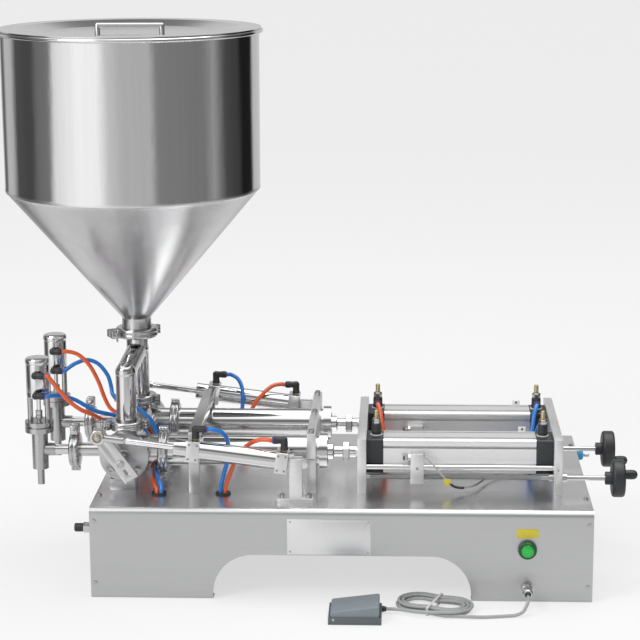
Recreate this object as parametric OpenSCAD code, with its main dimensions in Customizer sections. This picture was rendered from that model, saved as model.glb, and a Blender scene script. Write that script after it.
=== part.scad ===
// Bench-top piston paste filling machine with two filling lines, in millimetres.
// +X runs from the nozzles to the handwheels, +Y away from the operator, +Z up.
// The origin is the centre of the cabinet's footprint, on the bench.

/* [Cabinet] */
// Length of the cabinet
cabinet_l = 900; // [880:5:960]
// Depth of the cabinet
cabinet_d = 510; // [490:5:580]
// Height of the deck above the bench
cabinet_h = 169; // [150:1:210]
// Thickness of the bent sheet
sheet_t = 2; // [1.5:0.1:2.5]
// Bend radius along the deck's long edges
bend_r = 12; // [8:1:18]
// Distance from the middle to the arch's left foot
arch_left = 229; // [200:1:235]
// Distance from the middle to the arch's right foot
arch_right = 234; // [200:1:240]
// Height of the arch under the cabinet
arch_h = 84; // [60:1:90]
// Radius of the arch's upper corners
arch_r = 72; // [30:1:80]

/* [Filling lines] */
// Distance between the two filling lines
line_spacing = 192; // [180:1:210]
// Height of the lines' axis above the deck
line_h = 63; // [58:1:75]
// Working stroke of the pistons
stroke = 240; // [180:1:240]
// Bore of the material cylinders
bore_d = 50; // [44:0.5:52]
// Outer diameter of the material cylinders
tube_d = 57; // [55:0.5:58]
// Diameter of the piston rods
rod_d = 20; // [16:0.5:22]

/* [Drive] */
// Side of the square air cylinders
air_side = 65; // [60:0.5:68]
// Bore of the air cylinders
air_bore = 50; // [40:0.5:50]
// Length of an air cylinder's end cap
cap_l = 31; // [26:1:31]
// Thickness of the upright plates
plate_t = 16; // [12:1:18]
// Distance from a filling line to the side edges of the upright plates
plate_side = 58; // [56:1:69]
// Diameter of the handwheels
wheel_d = 69; // [60:1:80]
// Diameter of the guide rods
guide_d = 10; // [8:0.5:11]
// Diameter of the lead screws
screw_d = 9; // [7:0.5:10]

/* [Valves] */
// Outer diameter of a rotary valve's body
valve_d = 70; // [64:1:72]
// Radius of the round valve covers
cover_r = 45; // [43:1:48]
// Throw of the valve lever from its shaft to the rod end
lever_r = 66; // [60:1:70]
// Direction of the lever at rest, counted from +X towards +Z
lever_rest = 126; // [120:1:130]
// Turn of the valve between filling and emptying
valve_turn = 80; // [60:1:80]
// Diameter of the valve shaft
shaft_d = 16; // [12:0.5:18]

/* [Hopper] */
// Outer radius of the hopper's cylinder
hopper_r = 235.5; // [180:0.5:250]
// Height of the rim above the bench
rim_z = 1001; // [900:1:1050]
// Height of the cylinder's lower edge above the bench
cone_top_z = 710; // [640:1:740]
// Height of the cone's lower edge above the bench
cone_low_z = 464; // [460:1:480]
// Wall of the hopper
hopper_t = 2; // [1.5:0.1:3]
// Width of the lid's flat rim round its sunken middle
lid_rim_w = 34; // [20:1:100]

/* [Nozzles] */
// Diameter of the outlet pipes
outlet_d = 19; // [16:0.5:20]
// Distance of the nozzles from the rotary valves
nozzle_distance = 163; // [155:1:175]
// Diameter of the nozzle tip
tip_d = 13; // [11:0.5:16]
// Diameter of the nozzle's air cylinder
actuator_d = 43; // [38:0.5:46]

/* [Swing cylinders] */
// Distance of the swing cylinders from the filling lines
swing_offset = 106; // [105:0.5:108]
// Diameter of the swing cylinder's tube
swing_tube_d = 34; // [28:0.5:36]
// Diameter of its piston rod
swing_rod_d = 12; // [8:0.5:14]

/* [Foot switch] */
// Length of the foot switch
pedal_l = 93; // [80:1:100]
// Width of the foot switch
pedal_w = 78; // [62:1:85]
// Height of the foot switch at its high end
pedal_h = 33; // [30:1:40]
// Diameter of its cord
cord_d = 6; // [5:0.1:6.4]
// Diameter of the air hoses
hose_d = 8; // [6:0.5:8]

/* [Hidden] */
$fn = 64;

// Fits shared by the whole machine
overrun = 1;
running_gap = 0.05;
seat_gap = 0.15;
free_gap = 0.3;
screw_gap = 0.2;

// Cabinet sheet work
foot_bend_r = 5;
least_r = 0.4;
foot_flange_w = 25;
foot_hole_d = 9;
foot_hole_x = 400;
foot_hole_share = 0.6;
foot_hole_y = cabinet_d/2 - foot_flange_w*foot_hole_share;
panel_t = 2;
panel_flange_l = 12;
m4_d = 4;
m4_head_d = 8;
m4_head_h = 2.4;
m4_l = 8;
panel_screw_x = cabinet_l/2 - panel_t - panel_flange_l/2;
panel_screw_low_z = 28;
panel_screw_high_z = 144;
panel_screw_y = 175;
deck_z = cabinet_h;
front_y = -cabinet_d/2;

// Deck openings for the hoses
grommet_flange_d = 28;
grommet_flange_h = 3;
grommet_bore = 2*hose_d + 1;
grommet_neck_d = grommet_bore + 4;
nozzle_grommet = [-334, 166];
swing_grommet = [-217, 163];
left_port_grommet = [78, 0];
right_port_grommet = [350, 0];
grommet_places = [
    [nozzle_grommet.x, -nozzle_grommet.y], nozzle_grommet,
    [swing_grommet.x, -swing_grommet.y], swing_grommet,
    left_port_grommet, right_port_grommet
];

// Front panel
plate_x = -95;
plate_z = 86;
info_w = 149;
info_h = 66;
info_t = 0.8;
rivet_d = 4;
rivet_h = 1;
rivet_edge = 5;
button_x = 333;
button_z = 99;
label_w = 39;
label_h = 17;
label_z = 120;
label_t = 0.6;
lens_d = 24;
lens_h = 7;
lens_dome_h = 2;
lens_gap = 0.1;
bezel_d = 34;
bezel_h = 12;
bezel_floor = 3;
button_body_d = 22;
button_body_l = 42;
button_bore = 16;
button_stem_d = 12;
button_travel = 3;
button_nut_d = 30;
button_nut_h = 5;
spring_d = 13;
spring_wire = 2;
spring_l = 14;
socket_z = 27;
socket_flange_d = 24;
socket_flange_h = 4;
socket_d = 18;
socket_bore = 13;
socket_l = 24;
plug_d = 19;
plug_l = 32;
plug_nut_d = 21;
plug_nut_l = 10;
plug_tail_d = 12;
plug_tail_l = 9;
plug_pin_l = 15;

// Air inlet on the left panel
inlet_y = -150;
inlet_z = 98;
inlet_hex_af = 18;
inlet_hex_l = 19;
inlet_body_d = 16;
inlet_body_l = 25;
inlet_thread_d = 13;
inlet_nut_h = 5;
inlet_barb_l = 12;
inlet_socket_l = 20;
hose_bore_share = 0.75;

// Upright plates, along X
saddle_x = -64;
inner_plate_x = 28;
air_end_x = 385;
saddle_top_h = 111;
drive_top_h = 102;
saddle_slit = 1.6;
rod_hole_d = rod_d + 4;
m6_d = 6;
m6_head_d = 10;
m6_head_h = 6;
m6_socket_af = 5;
m6_socket_h = 3;
saddle_screw_share = 0.6;

// Bridge over the material cylinders
bridge_x = -280;
bridge_w = 20;
bridge_post_t = 8;
bridge_y = 160;
bridge_bar_h = 18;
bridge_top_h = 115;

// Places across the machine
axis_z = deck_z + line_h;
line_y = line_spacing/2;
plate_w = line_spacing + 2*plate_side;
saddle_screw_y = line_y + (tube_d/2 + plate_side)/2;
guide_out = 42;
guide_h = 46;
lead_h = 28;
guide_z = deck_z + guide_h;
lead_z = deck_z + lead_h;

// Material cylinder and its piston
tube_left_x = -331.5;
tube_right_x = -28;
ferrule_t = 4;
big_ferrule_d = 64;
small_ferrule_d = 50.5;
ring_d = 68;
ring_l = 15;
piston_l = 25;
piston_groove_w = 4;
piston_groove_h = 1.5;
piston_front_gap = 26.5;
piston_x = tube_left_x + piston_front_gap + stroke;
coupling_d = 30;
coupling_l = 22;
nut_af = 30;
nut_h = 12;
rod_end_d = 22;
air_piston_l = 30;
air_piston_gap = 4;

// Air cylinder
air_corner_r = 6;
slot_w = 5;
slot_depth = 7;
slot_inner_w = 9;
slot_inner_h = 3.5;
slot_lip = 2;
slot_offset = 18;
cap_screw_offset = 24;
cap_screw_d = 8;
cap_screw_h = 1;
control_inset = 18;
control_ring_d = 22;
control_ring_h = 2;
control_body_d = 19;
control_body_h = 22;
control_arm_d = 12;
control_arm_l = 13.5;
control_arm_h = 14;
control_nut_af = 14;
control_nut_h = 9;
control_screw_d = 9;
control_screw_h = 16;

// Stroke stop, lead screw and handwheel
lead_end_x = 479;
lead_start_x = 32;
collar_d = 16;
collar_l = 8;
hub_d = 24;
hub_l = 11;
wheel_w = 24;
wheel_rim_w = 10;
wheel_web_w = 10;
grip_d = 18;
grip_l = 27;
grip_stem_d = 8;
grip_offset = 23;
rear_grip_turn = -90;
stop_x = 125;
stop_l = 24;
stop_w = 19;
stop_out = 52;
stop_low_h = 17;
stop_high_h = 73;
sensor_d = 8;
sensor_l = 14;
sensor_h = 63;
stop_screw_d = 5;

// Rotary valve
valve_x = -400;
nozzle_reach = nozzle_distance - valve_x;
valve_front = 41;
valve_back = 45;
valve_wall = 6;
rotor_d = 50;
rotor_cheek = 8;
vane_share = 0.6;
vane_chord = 15;
flange_t = 8;
cover_t = 8;
cover_bolt_r = 34;
feed_port_d = 38;
feed_bore = 33;
feed_joint_h = 49;
cylinder_neck_d = 57;
outlet_neck_d = 25;
outlet_bore = outlet_d - 3;
outlet_joint_x = -497;
foot_left = 27;
foot_right = 20;
foot_l = 40;
foot_h = 21;
shaft_boss_d = 26;
shaft_boss_h = 5;
lever_t = 6;
lever_w = 28;
lever_tip_r = 14;
lever_tail = 36;
lever_gap = 0.5;
lever_slot_w = 5;
lever_slot_l = 12;
lever_slot_place = 17;
lever_nut_af = 13;
lever_nut_h = 4;

// Hopper, manifold and clamps
hopper_x = -390;
rim_bead_d = 8;
neck_d = 54;
neck_bore = 48;
neck_joint_z = 436;
manifold_d = 40;
manifold_bore = 35;
manifold_split_z = 402;
manifold_knee_h = 148;
leg_d = 37;
joint_swell = 1;
leg_bore = 33;
clamp_w = 18;
clamp_wall = 7.5;
clamp_lug_w = 14;
clamp_lug_l = 16;
clamp_bolt_d = 6;
clamp_bolt_l = 42;
wing_d = 12;
wing_l = 9;
wing_span = 26;
wing_t = 3;

// Lid
lid_t = 2;
lid_overhang = 4;
lid_dish_h = 9;
lid_slope_w = 44;
lid_r = hopper_r + rim_bead_d - lid_overhang;
lid_dish_d = 2*(lid_r - lid_rim_w);
lid_dish_low_d = lid_dish_d - 2*lid_slope_w;
handle_span = 118;
handle_rise = 22;
handle_d = 10;

// Nozzle, heights above the bench
tip_low_z = 165;
nozzle_low_z = 196;
nozzle_ring_z = 267;
nozzle_yoke_z = 287;
nozzle_actuator_z = 333;
nozzle_top_z = 407;
nozzle_d = 30;
nozzle_bore = 22;
nozzle_ring_d = 53;
branch_d = 24;
branch_l = 14;
tip_bore = 9;
yoke_post_d = 10;
yoke_post_x = 16;
plunger_d = 8;
plunger_nut_d = 13;
plunger_nut_l = 16;
plug_h = 6;
actuator_bore = 36;
actuator_cap_h = 9;
actuator_piston_h = 10;
fitting_low_h = 8;
fitting_high_h = 46;
fitting_d = 12;
fitting_stub = 9;
fitting_l = 17;

// Swing cylinder, lengths counted from its rear pivot towards the rod end
swing_pivot = [-80, 240.6];
ear_w = 12;
ear_h = 16;
ear_back = 21;
rear_cap_start = 16;
rear_cap_l = 22;
swing_tube_l = 138;
front_cap_l = 23;
swing_cap_side = 39;
nose_d = 32;
nose_l = 24;
swing_bore = 28;
swing_piston_l = 12;
swing_piston_gap = 3;
barrel_d = 14;
barrel_l = 38;
eye_d = 28;
eye_w = 14;
eye_ball_d = 16;
eye_hole_d = 10;
pivot_pin_d = 8;
elbow_d = 13;
elbow_rise = 19;
elbow_arm = 20;
elbow_neck_share = 0.8;
bracket_foot_x = -115;
bracket_foot_l = 65;
bracket_foot_t = 7;
bracket_post_x = -93;
bracket_post_l = 23;
bracket_w = 22;
bracket_slot_h = 57;
bracket_h = 81;
bracket_screws = [-106, -58];

// Cabinet inside
bank_x = -170;
bank_l = 220;
bank_w = 60;
bank_h = 24;
bank_valve_h = 50;
bank_valve_w = 20;
bank_valve_count = 6;
port_drop_h = 30;
port_step = 10;
hose_lead = 5;
port_run = 20;
port_turn_h = 13;
port_bend_h = 4;
port_bend_share = 0.03;
port_near_share = 0.12;
port_straight_share = 0.4;
port_far_share = 3;
end_port_level = 1.5;
control_l = 96;
control_w = 180;
control_h = 96;
control_y = -120;
control_z = 34;

// Pressure knob
knob_y = 165;
knob_z = 152;
knob_d = 20;
knob_h = 14;
knob_stem_d = 8;
knob_drop = 22;
knob_lift = 2;
knob_tip_l = 12;

// Foot switch
pedal_x = -18;
pedal_y = -339;
pedal_wall = 3;
pedal_rim_h = 13;
pedal_pin_d = 4;
pedal_pin_x = 9;
pedal_pin_h = 9;
treadle_gap = 0.8;
treadle_low_h = 22;
treadle_base_h = 9;
treadle_heel_h = 5.5;
treadle_t = 4;
pedal_spring_d = 9;
pedal_spring_h = 5;
pedal_spring_x = 52;
gland_d = 11;
gland_l = 8;
cord_exit_z = 8;
cord_exit_y = -317;

// Cord route, chosen by hand, and the hank's loops
lead_points = [
    [333, -300.2, 27], [333, -303, 27], [333, -306, 27], [332, -315, 24.6], [328, -324, 17], [322, -329, 9],
    [310, -331, 4], [296, -333, 3.2], [280, -336, 3.2], [262, -339, 3.2], [244, -341, 3.6],
    [226, -341, 4.2], [205, -339, 4.2], [191.5, -338.6, 4.2]
];
tail_points = [
    [179.1, -338.6, 10.8], [172, -338.6, 10.8], [160, -338, 10.6], [146, -335, 10], [132, -330, 9],
    [118, -324, 8.4], [104, -319, 8], [92, -317, 8], [83.2, -317, 8]
];
hank_x = 168;
hank_y = -290;
hank_tilt = -20;
hank_a = 70;
hank_b = 49;
hank_a_step = 7;
hank_b_step = 7.6;
hank_pinch = 13;
hank_pinch_w = 30;
hank_turns = 5;
hank_start = -62;
hank_rings = 24;
hank_lift = 1.2;
hank_layer = 6.6;
tie_w = 5;
tie_t = 0.8;
tie_gap = 0.4;

// Routes of the air hoses and sensor leads, chosen by hand; each tail and the swing hoses are also mirrored
front_orange_points = [
    [-545.8, -126.5, 379], [-538, -126, 378], [-526, -122, 360], [-504, -112, 329], [-484, -103, 310],
    [-469, -92, 300], [-456, -72, 286], [-440, -56, 274], [-420, -46, 264]
];
front_blue_points = [
    [-545.8, -126.5, 341], [-538, -124, 341], [-522, -106, 337], [-498, -90, 326], [-476, -82, 311],
    [-458, -74, 299], [-440, -58, 290], [-420, -46, 282]
];
rear_orange_points = [
    [-545.8, 65.5, 379], [-536, 66, 380], [-514, 66, 374], [-492, 62, 354], [-475, 60, 322],
    [-463, 56, 290], [-450, 50, 270], [-428, 46, 260]
];
rear_blue_points = [
    [-545.8, 65.5, 341], [-536, 67, 345], [-520, 72, 355], [-498, 76, 361], [-477, 77, 353],
    [-460, 76, 332], [-453, 72, 312], [-449, 64, 297], [-438, 54, 288], [-420, 46, 282]
];
orange_tail_points = [
    [-400, -44, 250], [-380, -44, 225], [-366, -52, 202], [-356, -80, 190], [-349, -120, 188],
    [-346, -146, 184], [-339.5, -162, 177], [-338.2, -166, 170], [-338.2, -166, 160]
];
blue_tail_points = [
    [-400, -40, 276], [-378, -38, 258], [-362, -40, 230], [-357, -50, 208], [-350, -76, 198],
    [-345.5, -112, 197], [-336, -148, 190], [-330.5, -162, 180], [-329.8, -166, 171], [-329.8, -166, 160]
];
swing_blue_points = [
    [-239.8, -202, 302], [-232, -202, 302], [-218, -194, 296], [-209, -182, 283], [-206, -170, 264],
    [-208, -164, 234], [-216, -163, 204], [-221, -163, 180], [-221.2, -163, 160]
];
swing_orange_points = [
    [-122.4, -202, 282], [-130, -202, 283], [-148, -196, 281], [-165, -182, 270], [-180, -168, 254],
    [-193, -160, 232], [-204, -159, 206], [-212, -162, 182], [-212.8, -163, 160]
];
left_port_points = [
    [62, -72.8, 278.5], [63, -64, 278], [68, -50, 265], [73, -34, 236], [77, -14, 200], [78, -5.6, 180],
    [78, -4.4, 168], [78, -4.4, 160]
];
right_port_points = [
    [367, -72.8, 278.5], [366, -64, 278], [361, -50, 265], [356, -34, 236], [351, -14, 200],
    [350, -5.6, 180], [350, -4.4, 168], [350, -4.4, 160]
];
sensor_lead_d = 3.5;
front_lead_points = [
    [150, -151, 236], [156, -151, 234], [171, -152, 218], [189, -152, 196], [204, -152, 183],
    [222, -144, 178], [240, -128, 177], [252, -108, 177], [270, -70, 177], [306, -30, 176],
    [335, -7, 179], [342.6, -3.4, 176], [344.1, -2.6, 171], [344.1, -2.4, 166], [343.8, -2.6, 160],
    [343, -5, 155], [338, -18, 147], [334, -42, 137], [340, -57, 123], [346, -60, 122],
    [349, -60, 122], [351.8, -60, 122]
];
rear_lead_points = [
    [150, 41, 236], [156, 41, 234], [171, 41, 218], [189, 42, 198], [210, 42, 184], [240, 38, 178],
    [290, 26, 176], [334, 9, 179], [342.6, 3.4, 176], [344.1, 2.6, 171], [344.1, 2.4, 166],
    [343.8, 2.6, 160], [343, 5, 155], [338, 18, 147], [334, 32, 137], [340, 41, 123],
    [346, 44, 122], [349, 44, 122], [351.8, 44, 122]
];
tag_place = [186, -154.5, 186];
tag_size = [12, 1, 12];

// Basic shapes
module bar_x(x0, x1, d) translate([x0, 0, 0]) rotate([0, 90, 0]) cylinder(h = x1 - x0, d = d);
module bar_y(y0, y1, d) translate([0, y0, 0]) rotate([-90, 0, 0]) cylinder(h = y1 - y0, d = d);
module bar_z(z0, z1, d) translate([0, 0, z0]) cylinder(h = z1 - z0, d = d);
module hex_x(x0, x1, af) translate([x0, 0, 0]) rotate([0, 90, 0])
    cylinder(h = x1 - x0, d = af/cos(30), $fn = 6);
module hex_y(y0, y1, af) translate([0, y0, 0]) rotate([-90, 0, 0])
    cylinder(h = y1 - y0, d = af/cos(30), $fn = 6);
module hex_z(z0, z1, af) translate([0, 0, z0]) cylinder(h = z1 - z0, d = af/cos(30), $fn = 6);
module block(low, high) translate(low) cube(high - low);
module along_x(x0, x1) translate([x0, 0, 0]) rotate([90, 0, 90]) linear_extrude(x1 - x0) children();
module along_y(y0, y1) translate([0, y1, 0]) rotate([90, 0, 0]) linear_extrude(y1 - y0) children();

// Upright outline with rounded corners, standing on zero
module round_profile(w, h, r_top, r_low) {
    translate([-w/2, r_low]) square([w, h - r_top - r_low]);
    translate([-w/2 + r_low, 0]) square([w - 2*r_low, r_low]);
    translate([-w/2 + r_top, h - r_top]) square([w - 2*r_top, r_top]);
    for (side = [-1, 1]) {
        translate([side*(w/2 - r_top), h - r_top]) circle(r_top);
        translate([side*(w/2 - r_low), r_low]) circle(r_low);
    }
}

// Square outline with round corners, centred
module round_square(w, r) translate([0, -w/2]) round_profile(w, w, r, r);

// A straight round bar between two points
module strut(p, q, d) {
    v = q - p;
    translate(p) rotate([0, acos(v.z/norm(v)), atan2(v.y, v.x)]) cylinder(h = norm(v), d = d);
}

// Front line first, then its mirror image
module both_lines() for (side = [-1, 1]) translate([0, side*line_y, axis_z]) children();
module mirrored_lines() {
    translate([0, -line_y, axis_z]) children();
    mirror([0, 1, 0]) translate([0, -line_y, axis_z]) children();
}

// Smooth curve through hand-picked points, and a tube swept along it
function curve_point(a, b, c, d, t) =
    0.5*(2*b + (c - a)*t + (2*a - 5*b + 4*c - d)*t*t + (3*b - a - 3*c + d)*t*t*t);
function smooth_path(p, n) = concat(
    [for (i = [0:len(p) - 2], k = [0:n - 1])
        curve_point(p[max(i - 1, 0)], p[i], p[i + 1], p[min(i + 2, len(p) - 1)], k/n)],
    [p[len(p) - 1]]);
function unit(v) = v/norm(v);
function tangent(p, i) = unit(p[min(i + 1, len(p) - 1)] - p[max(i - 1, 0)]);
function square_to(n, t) = unit(n - (n*t)*t);
function carried_normals(p) = [
    for (i = 0, n = square_to([0.3, 0.2, 1], tangent(p, 0)); i < len(p);
        i = i + 1, n = i < len(p) ? square_to(n, tangent(p, i)) : n) n];
module sweep(p, d, sides = 8) {
    normals = carried_normals(p);
    points = [for (i = [0:len(p) - 1], j = [0:sides - 1])
        let (t = tangent(p, i), a = 360*j/sides)
        p[i] + d/2*(cos(a)*normals[i] + sin(a)*cross(t, normals[i]))];
    last = (len(p) - 1)*sides;
    walls = [for (i = [0:len(p) - 2], j = [0:sides - 1])
        let (a = i*sides + j, b = i*sides + (j + 1)%sides)
        each [[a, a + sides, b + sides], [a, b + sides, b]]];
    start_cap = [for (j = [1:sides - 2]) [0, j, j + 1]];
    end_cap = [for (j = [1:sides - 2]) [last, last + j + 1, last + j]];
    polyhedron(points, concat(walls, start_cap, end_cap));
}

// Socket-head screw along -Z, its seat at zero
module socket_screw(d, head_d, head_h, l) {
    difference() {
        bar_z(0, head_h, head_d);
        hex_z(head_h - m6_socket_h, head_h + overrun, m6_socket_af);
    }
    bar_z(-l, 0, d);
}

// Cabinet
module arch_outline() {
    flat_w = arch_left + arch_right - 2*arch_r;
    translate([-arch_left, -overrun]) square([arch_left + arch_right, arch_h - arch_r + overrun]);
    translate([arch_r - arch_left, -overrun]) square([flat_w, arch_h + overrun]);
    for (x = [arch_r - arch_left, arch_right - arch_r]) translate([x, arch_h - arch_r]) circle(arch_r);
}
module cabinet_outline(inset) translate([0, inset])
    round_profile(cabinet_d - 2*inset, cabinet_h - 2*inset,
        max(bend_r - inset, least_r), max(foot_bend_r - inset, least_r));
module panel_screw_sites() {
    for (x = [-1, 1]*panel_screw_x) {
        for (z = [panel_screw_low_z, panel_screw_high_z], side = [-1, 1])
            translate([x, side*cabinet_d/2, z]) rotate([-side*90, 0, 0]) children();
        for (y = [-1, 1]*panel_screw_y) translate([x, y, cabinet_h]) children();
    }
}
module panel_screw_holes() panel_screw_sites() bar_z(-m4_l, overrun, m4_d + 2*screw_gap);
module cabinet_shell() color("silver") difference() {
    along_x(-cabinet_l/2, cabinet_l/2) cabinet_outline(0);
    along_x(-cabinet_l/2 - overrun, cabinet_l/2 + overrun) cabinet_outline(sheet_t);
    block([-cabinet_l/2 - overrun, foot_flange_w - cabinet_d/2, -overrun],
        [cabinet_l/2 + overrun, cabinet_d/2 - foot_flange_w, sheet_t + overrun]);
    along_y(-cabinet_d/2 - overrun, cabinet_d/2 + overrun) arch_outline();
    for (x = [-1, 1]*foot_hole_x, y = [-1, 1]*foot_hole_y)
        translate([x, y, 0]) bar_z(-overrun, sheet_t + overrun, foot_hole_d);
    for (p = grommet_places)
        translate(p) bar_z(cabinet_h - sheet_t - overrun, cabinet_h + overrun, grommet_neck_d + 2*seat_gap);
    translate([button_x, 0, button_z])
        bar_y(front_y - overrun, front_y + sheet_t + overrun, button_body_d + 2*seat_gap);
    translate([button_x, 0, socket_z])
        bar_y(front_y - overrun, front_y + sheet_t + overrun, socket_d + 2*seat_gap);
    panel_screw_holes();
}
module end_panel() difference() {
    inset = sheet_t + seat_gap;
    along_x(cabinet_l/2 - panel_t - panel_flange_l, cabinet_l/2) cabinet_outline(inset);
    along_x(cabinet_l/2 - panel_t - panel_flange_l - overrun, cabinet_l/2 - panel_t)
        cabinet_outline(inset + panel_t);
}
module end_panels() color("silver") difference() {
    union() {
        end_panel();
        mirror([1, 0, 0]) end_panel();
    }
    panel_screw_holes();
    translate([0, inlet_y, inlet_z])
        bar_x(-cabinet_l/2 - overrun, overrun - cabinet_l/2 + panel_t, inlet_thread_d + 2*seat_gap);
    translate([0, knob_y, knob_z])
        bar_x(cabinet_l/2 - panel_t - overrun, cabinet_l/2 + overrun, knob_stem_d + 2*running_gap);
}
module panel_screws() color("gray") panel_screw_sites() {
    difference() {
        bar_z(0, m4_head_h, m4_head_d);
        hex_z(m4_head_h/2, m4_head_h + overrun, m4_d/2);
    }
    bar_z(-m4_l, 0, m4_d);
}
module deck_grommets() color("black") for (p = grommet_places) translate([p.x, p.y, cabinet_h]) difference() {
    union() {
        bar_z(0, grommet_flange_h, grommet_flange_d);
        bar_z(-sheet_t, 0, grommet_neck_d);
        bar_z(-sheet_t - grommet_flange_h, -sheet_t, grommet_flange_d);
    }
    bar_z(-sheet_t - grommet_flange_h - overrun, grommet_flange_h + overrun, grommet_bore);
}
module instruction_plate() color("whitesmoke") {
    block([plate_x, front_y - info_t, plate_z], [plate_x + info_w, front_y, plate_z + info_h]);
    for (x = [rivet_edge, info_w - rivet_edge], z = [rivet_edge, info_h - rivet_edge])
        translate([plate_x + x, 0, plate_z + z]) bar_y(front_y - info_t - rivet_h, front_y - info_t, rivet_d);
}
module button_label() color("gold") block(
    [button_x - label_w/2, front_y - label_t, label_z], [button_x + label_w/2, front_y, label_z + label_h]);
module button_housing() translate([button_x, front_y, button_z]) {
    stem_bore = button_stem_d + 2*running_gap;
    color("darkgreen") difference() {
        union() {
            bar_y(-bezel_h, 0, bezel_d);
            bar_y(-bezel_floor, button_body_l, button_body_d);
        }
        bar_y(-bezel_h - overrun, -bezel_floor, lens_d + 2*lens_gap);
        bar_y(-bezel_h, overrun, stem_bore);
        bar_y(0, button_body_l - bezel_floor, button_bore);
    }
    color("black") difference() {
        bar_y(sheet_t, sheet_t + button_nut_h, button_nut_d);
        bar_y(0, sheet_t + button_nut_h + overrun, button_body_d + 2*seat_gap);
    }
    color("silver") difference() {
        bar_y(button_body_l - bezel_floor - spring_l, button_body_l - bezel_floor, spring_d);
        bar_y(0, button_body_l - bezel_floor - spring_wire, spring_d - 2*spring_wire);
    }
}
module start_button() color("lime") translate([button_x, front_y, button_z]) {
    lens_back = -bezel_floor - button_travel - free_gap;
    bar_y(lens_back - lens_h, lens_back, lens_d);
    translate([0, lens_back - lens_h, 0]) rotate([90, 0, 0])
        cylinder(h = lens_dome_h, d1 = lens_d, d2 = lens_d - 4*lens_dome_h);
    bar_y(lens_back, button_body_l - bezel_floor - spring_l - button_travel - free_gap, button_stem_d);
}
module cable_socket() color("dimgray") translate([button_x, front_y, socket_z]) difference() {
    union() {
        bar_y(-socket_flange_h, 0, socket_flange_d);
        bar_y(0, socket_l, socket_d);
    }
    bar_y(-socket_flange_h - overrun, socket_l - ferrule_t, socket_bore);
}
module cord_plug() color("dimgray") translate([button_x, front_y - socket_flange_h, socket_z]) {
    bar_y(0, plug_pin_l, socket_bore - 2*seat_gap);
    bar_y(-plug_nut_l, 0, plug_nut_d);
    bar_y(-plug_l, -plug_nut_l, plug_d);
    bar_y(-plug_l - plug_tail_l, -plug_l, plug_tail_d);
}
module air_inlet() translate([-cabinet_l/2, inlet_y, inlet_z]) {
    color("silver") difference() {
        union() {
            hex_x(-inlet_hex_l, 0, inlet_hex_af);
            bar_x(0, panel_t + inlet_nut_h + inlet_barb_l, inlet_thread_d);
        }
        bar_x(-inlet_hex_l - overrun, panel_t + inlet_nut_h + inlet_barb_l + overrun, hose_d*hose_bore_share);
    }
    color("silver") difference() {
        hex_x(panel_t, panel_t + inlet_nut_h, inlet_hex_af);
        bar_x(0, panel_t + inlet_nut_h + overrun, inlet_thread_d + 2*seat_gap);
    }
    color("black") difference() {
        bar_x(-inlet_hex_l - inlet_body_l, -inlet_hex_l, inlet_body_d);
        bar_x(-inlet_hex_l - inlet_body_l - overrun, inlet_socket_l - inlet_hex_l - inlet_body_l, hose_d);
        bar_x(-inlet_hex_l - inlet_body_l, overrun - inlet_hex_l, hose_d*hose_bore_share);
    }
}

// Frame that carries the two filling lines
module plate_outline(z0, z1) translate([-plate_w/2, z0]) square([plate_w, z1 - z0]);
module saddle_part(z0, z1) difference() {
    along_x(saddle_x, saddle_x + plate_t) plate_outline(z0, z1);
    both_lines() bar_x(saddle_x - overrun, saddle_x + plate_t + overrun, tube_d + 2*seat_gap);
    for (y = [-1, 0, 1]*saddle_screw_y) translate([saddle_x + plate_t/2, y, 0])
        bar_z(deck_z + line_h/2, deck_z + saddle_top_h + overrun, m6_d + 2*screw_gap);
}
module cylinder_saddle() color("gainsboro") saddle_part(deck_z, axis_z - saddle_slit/2);
module saddle_cap() color("gainsboro") saddle_part(axis_z + saddle_slit/2, deck_z + saddle_top_h);
module lead_places() for (side = [-1, 1])
    translate([0, side*line_y - guide_out, lead_z]) children();
module guide_places() for (side = [-1, 1])
    translate([0, side*line_y - guide_out, guide_z]) children();
module drive_plates() color("gainsboro") {
    difference() {
        along_x(inner_plate_x, inner_plate_x + plate_t) plate_outline(deck_z, deck_z + drive_top_h);
        both_lines() bar_x(inner_plate_x - overrun, inner_plate_x + plate_t + overrun, rod_hole_d);
        guide_places()
            bar_x(inner_plate_x - overrun, inner_plate_x + plate_t + overrun, guide_d + 2*running_gap);
        lead_places()
            bar_x(lead_start_x - free_gap, inner_plate_x + plate_t + overrun, screw_d + 2*running_gap);
    }
    difference() {
        along_x(air_end_x, air_end_x + plate_t) plate_outline(deck_z, deck_z + drive_top_h);
        guide_places() bar_x(air_end_x - overrun, air_end_x + plate_t + overrun, guide_d + 2*running_gap);
        lead_places() bar_x(air_end_x - overrun, air_end_x + plate_t + overrun, screw_d + 2*running_gap);
        translate([air_end_x + plate_t/2, 0, guide_z])
            bar_y(-plate_w/2 - overrun, -line_y - guide_out, m4_d + 2*screw_gap);
    }
}
module cylinder_bridge() color("silver") {
    top_z = deck_z + bridge_top_h;
    block([bridge_x, -bridge_y, top_z - bridge_bar_h], [bridge_x + bridge_w, bridge_y, top_z]);
    for (side = [-1, 1]) translate([bridge_x, side*(bridge_y - bridge_post_t/2) - bridge_post_t/2, deck_z])
        cube([bridge_w, bridge_post_t, bridge_top_h - bridge_bar_h]);
}
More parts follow.
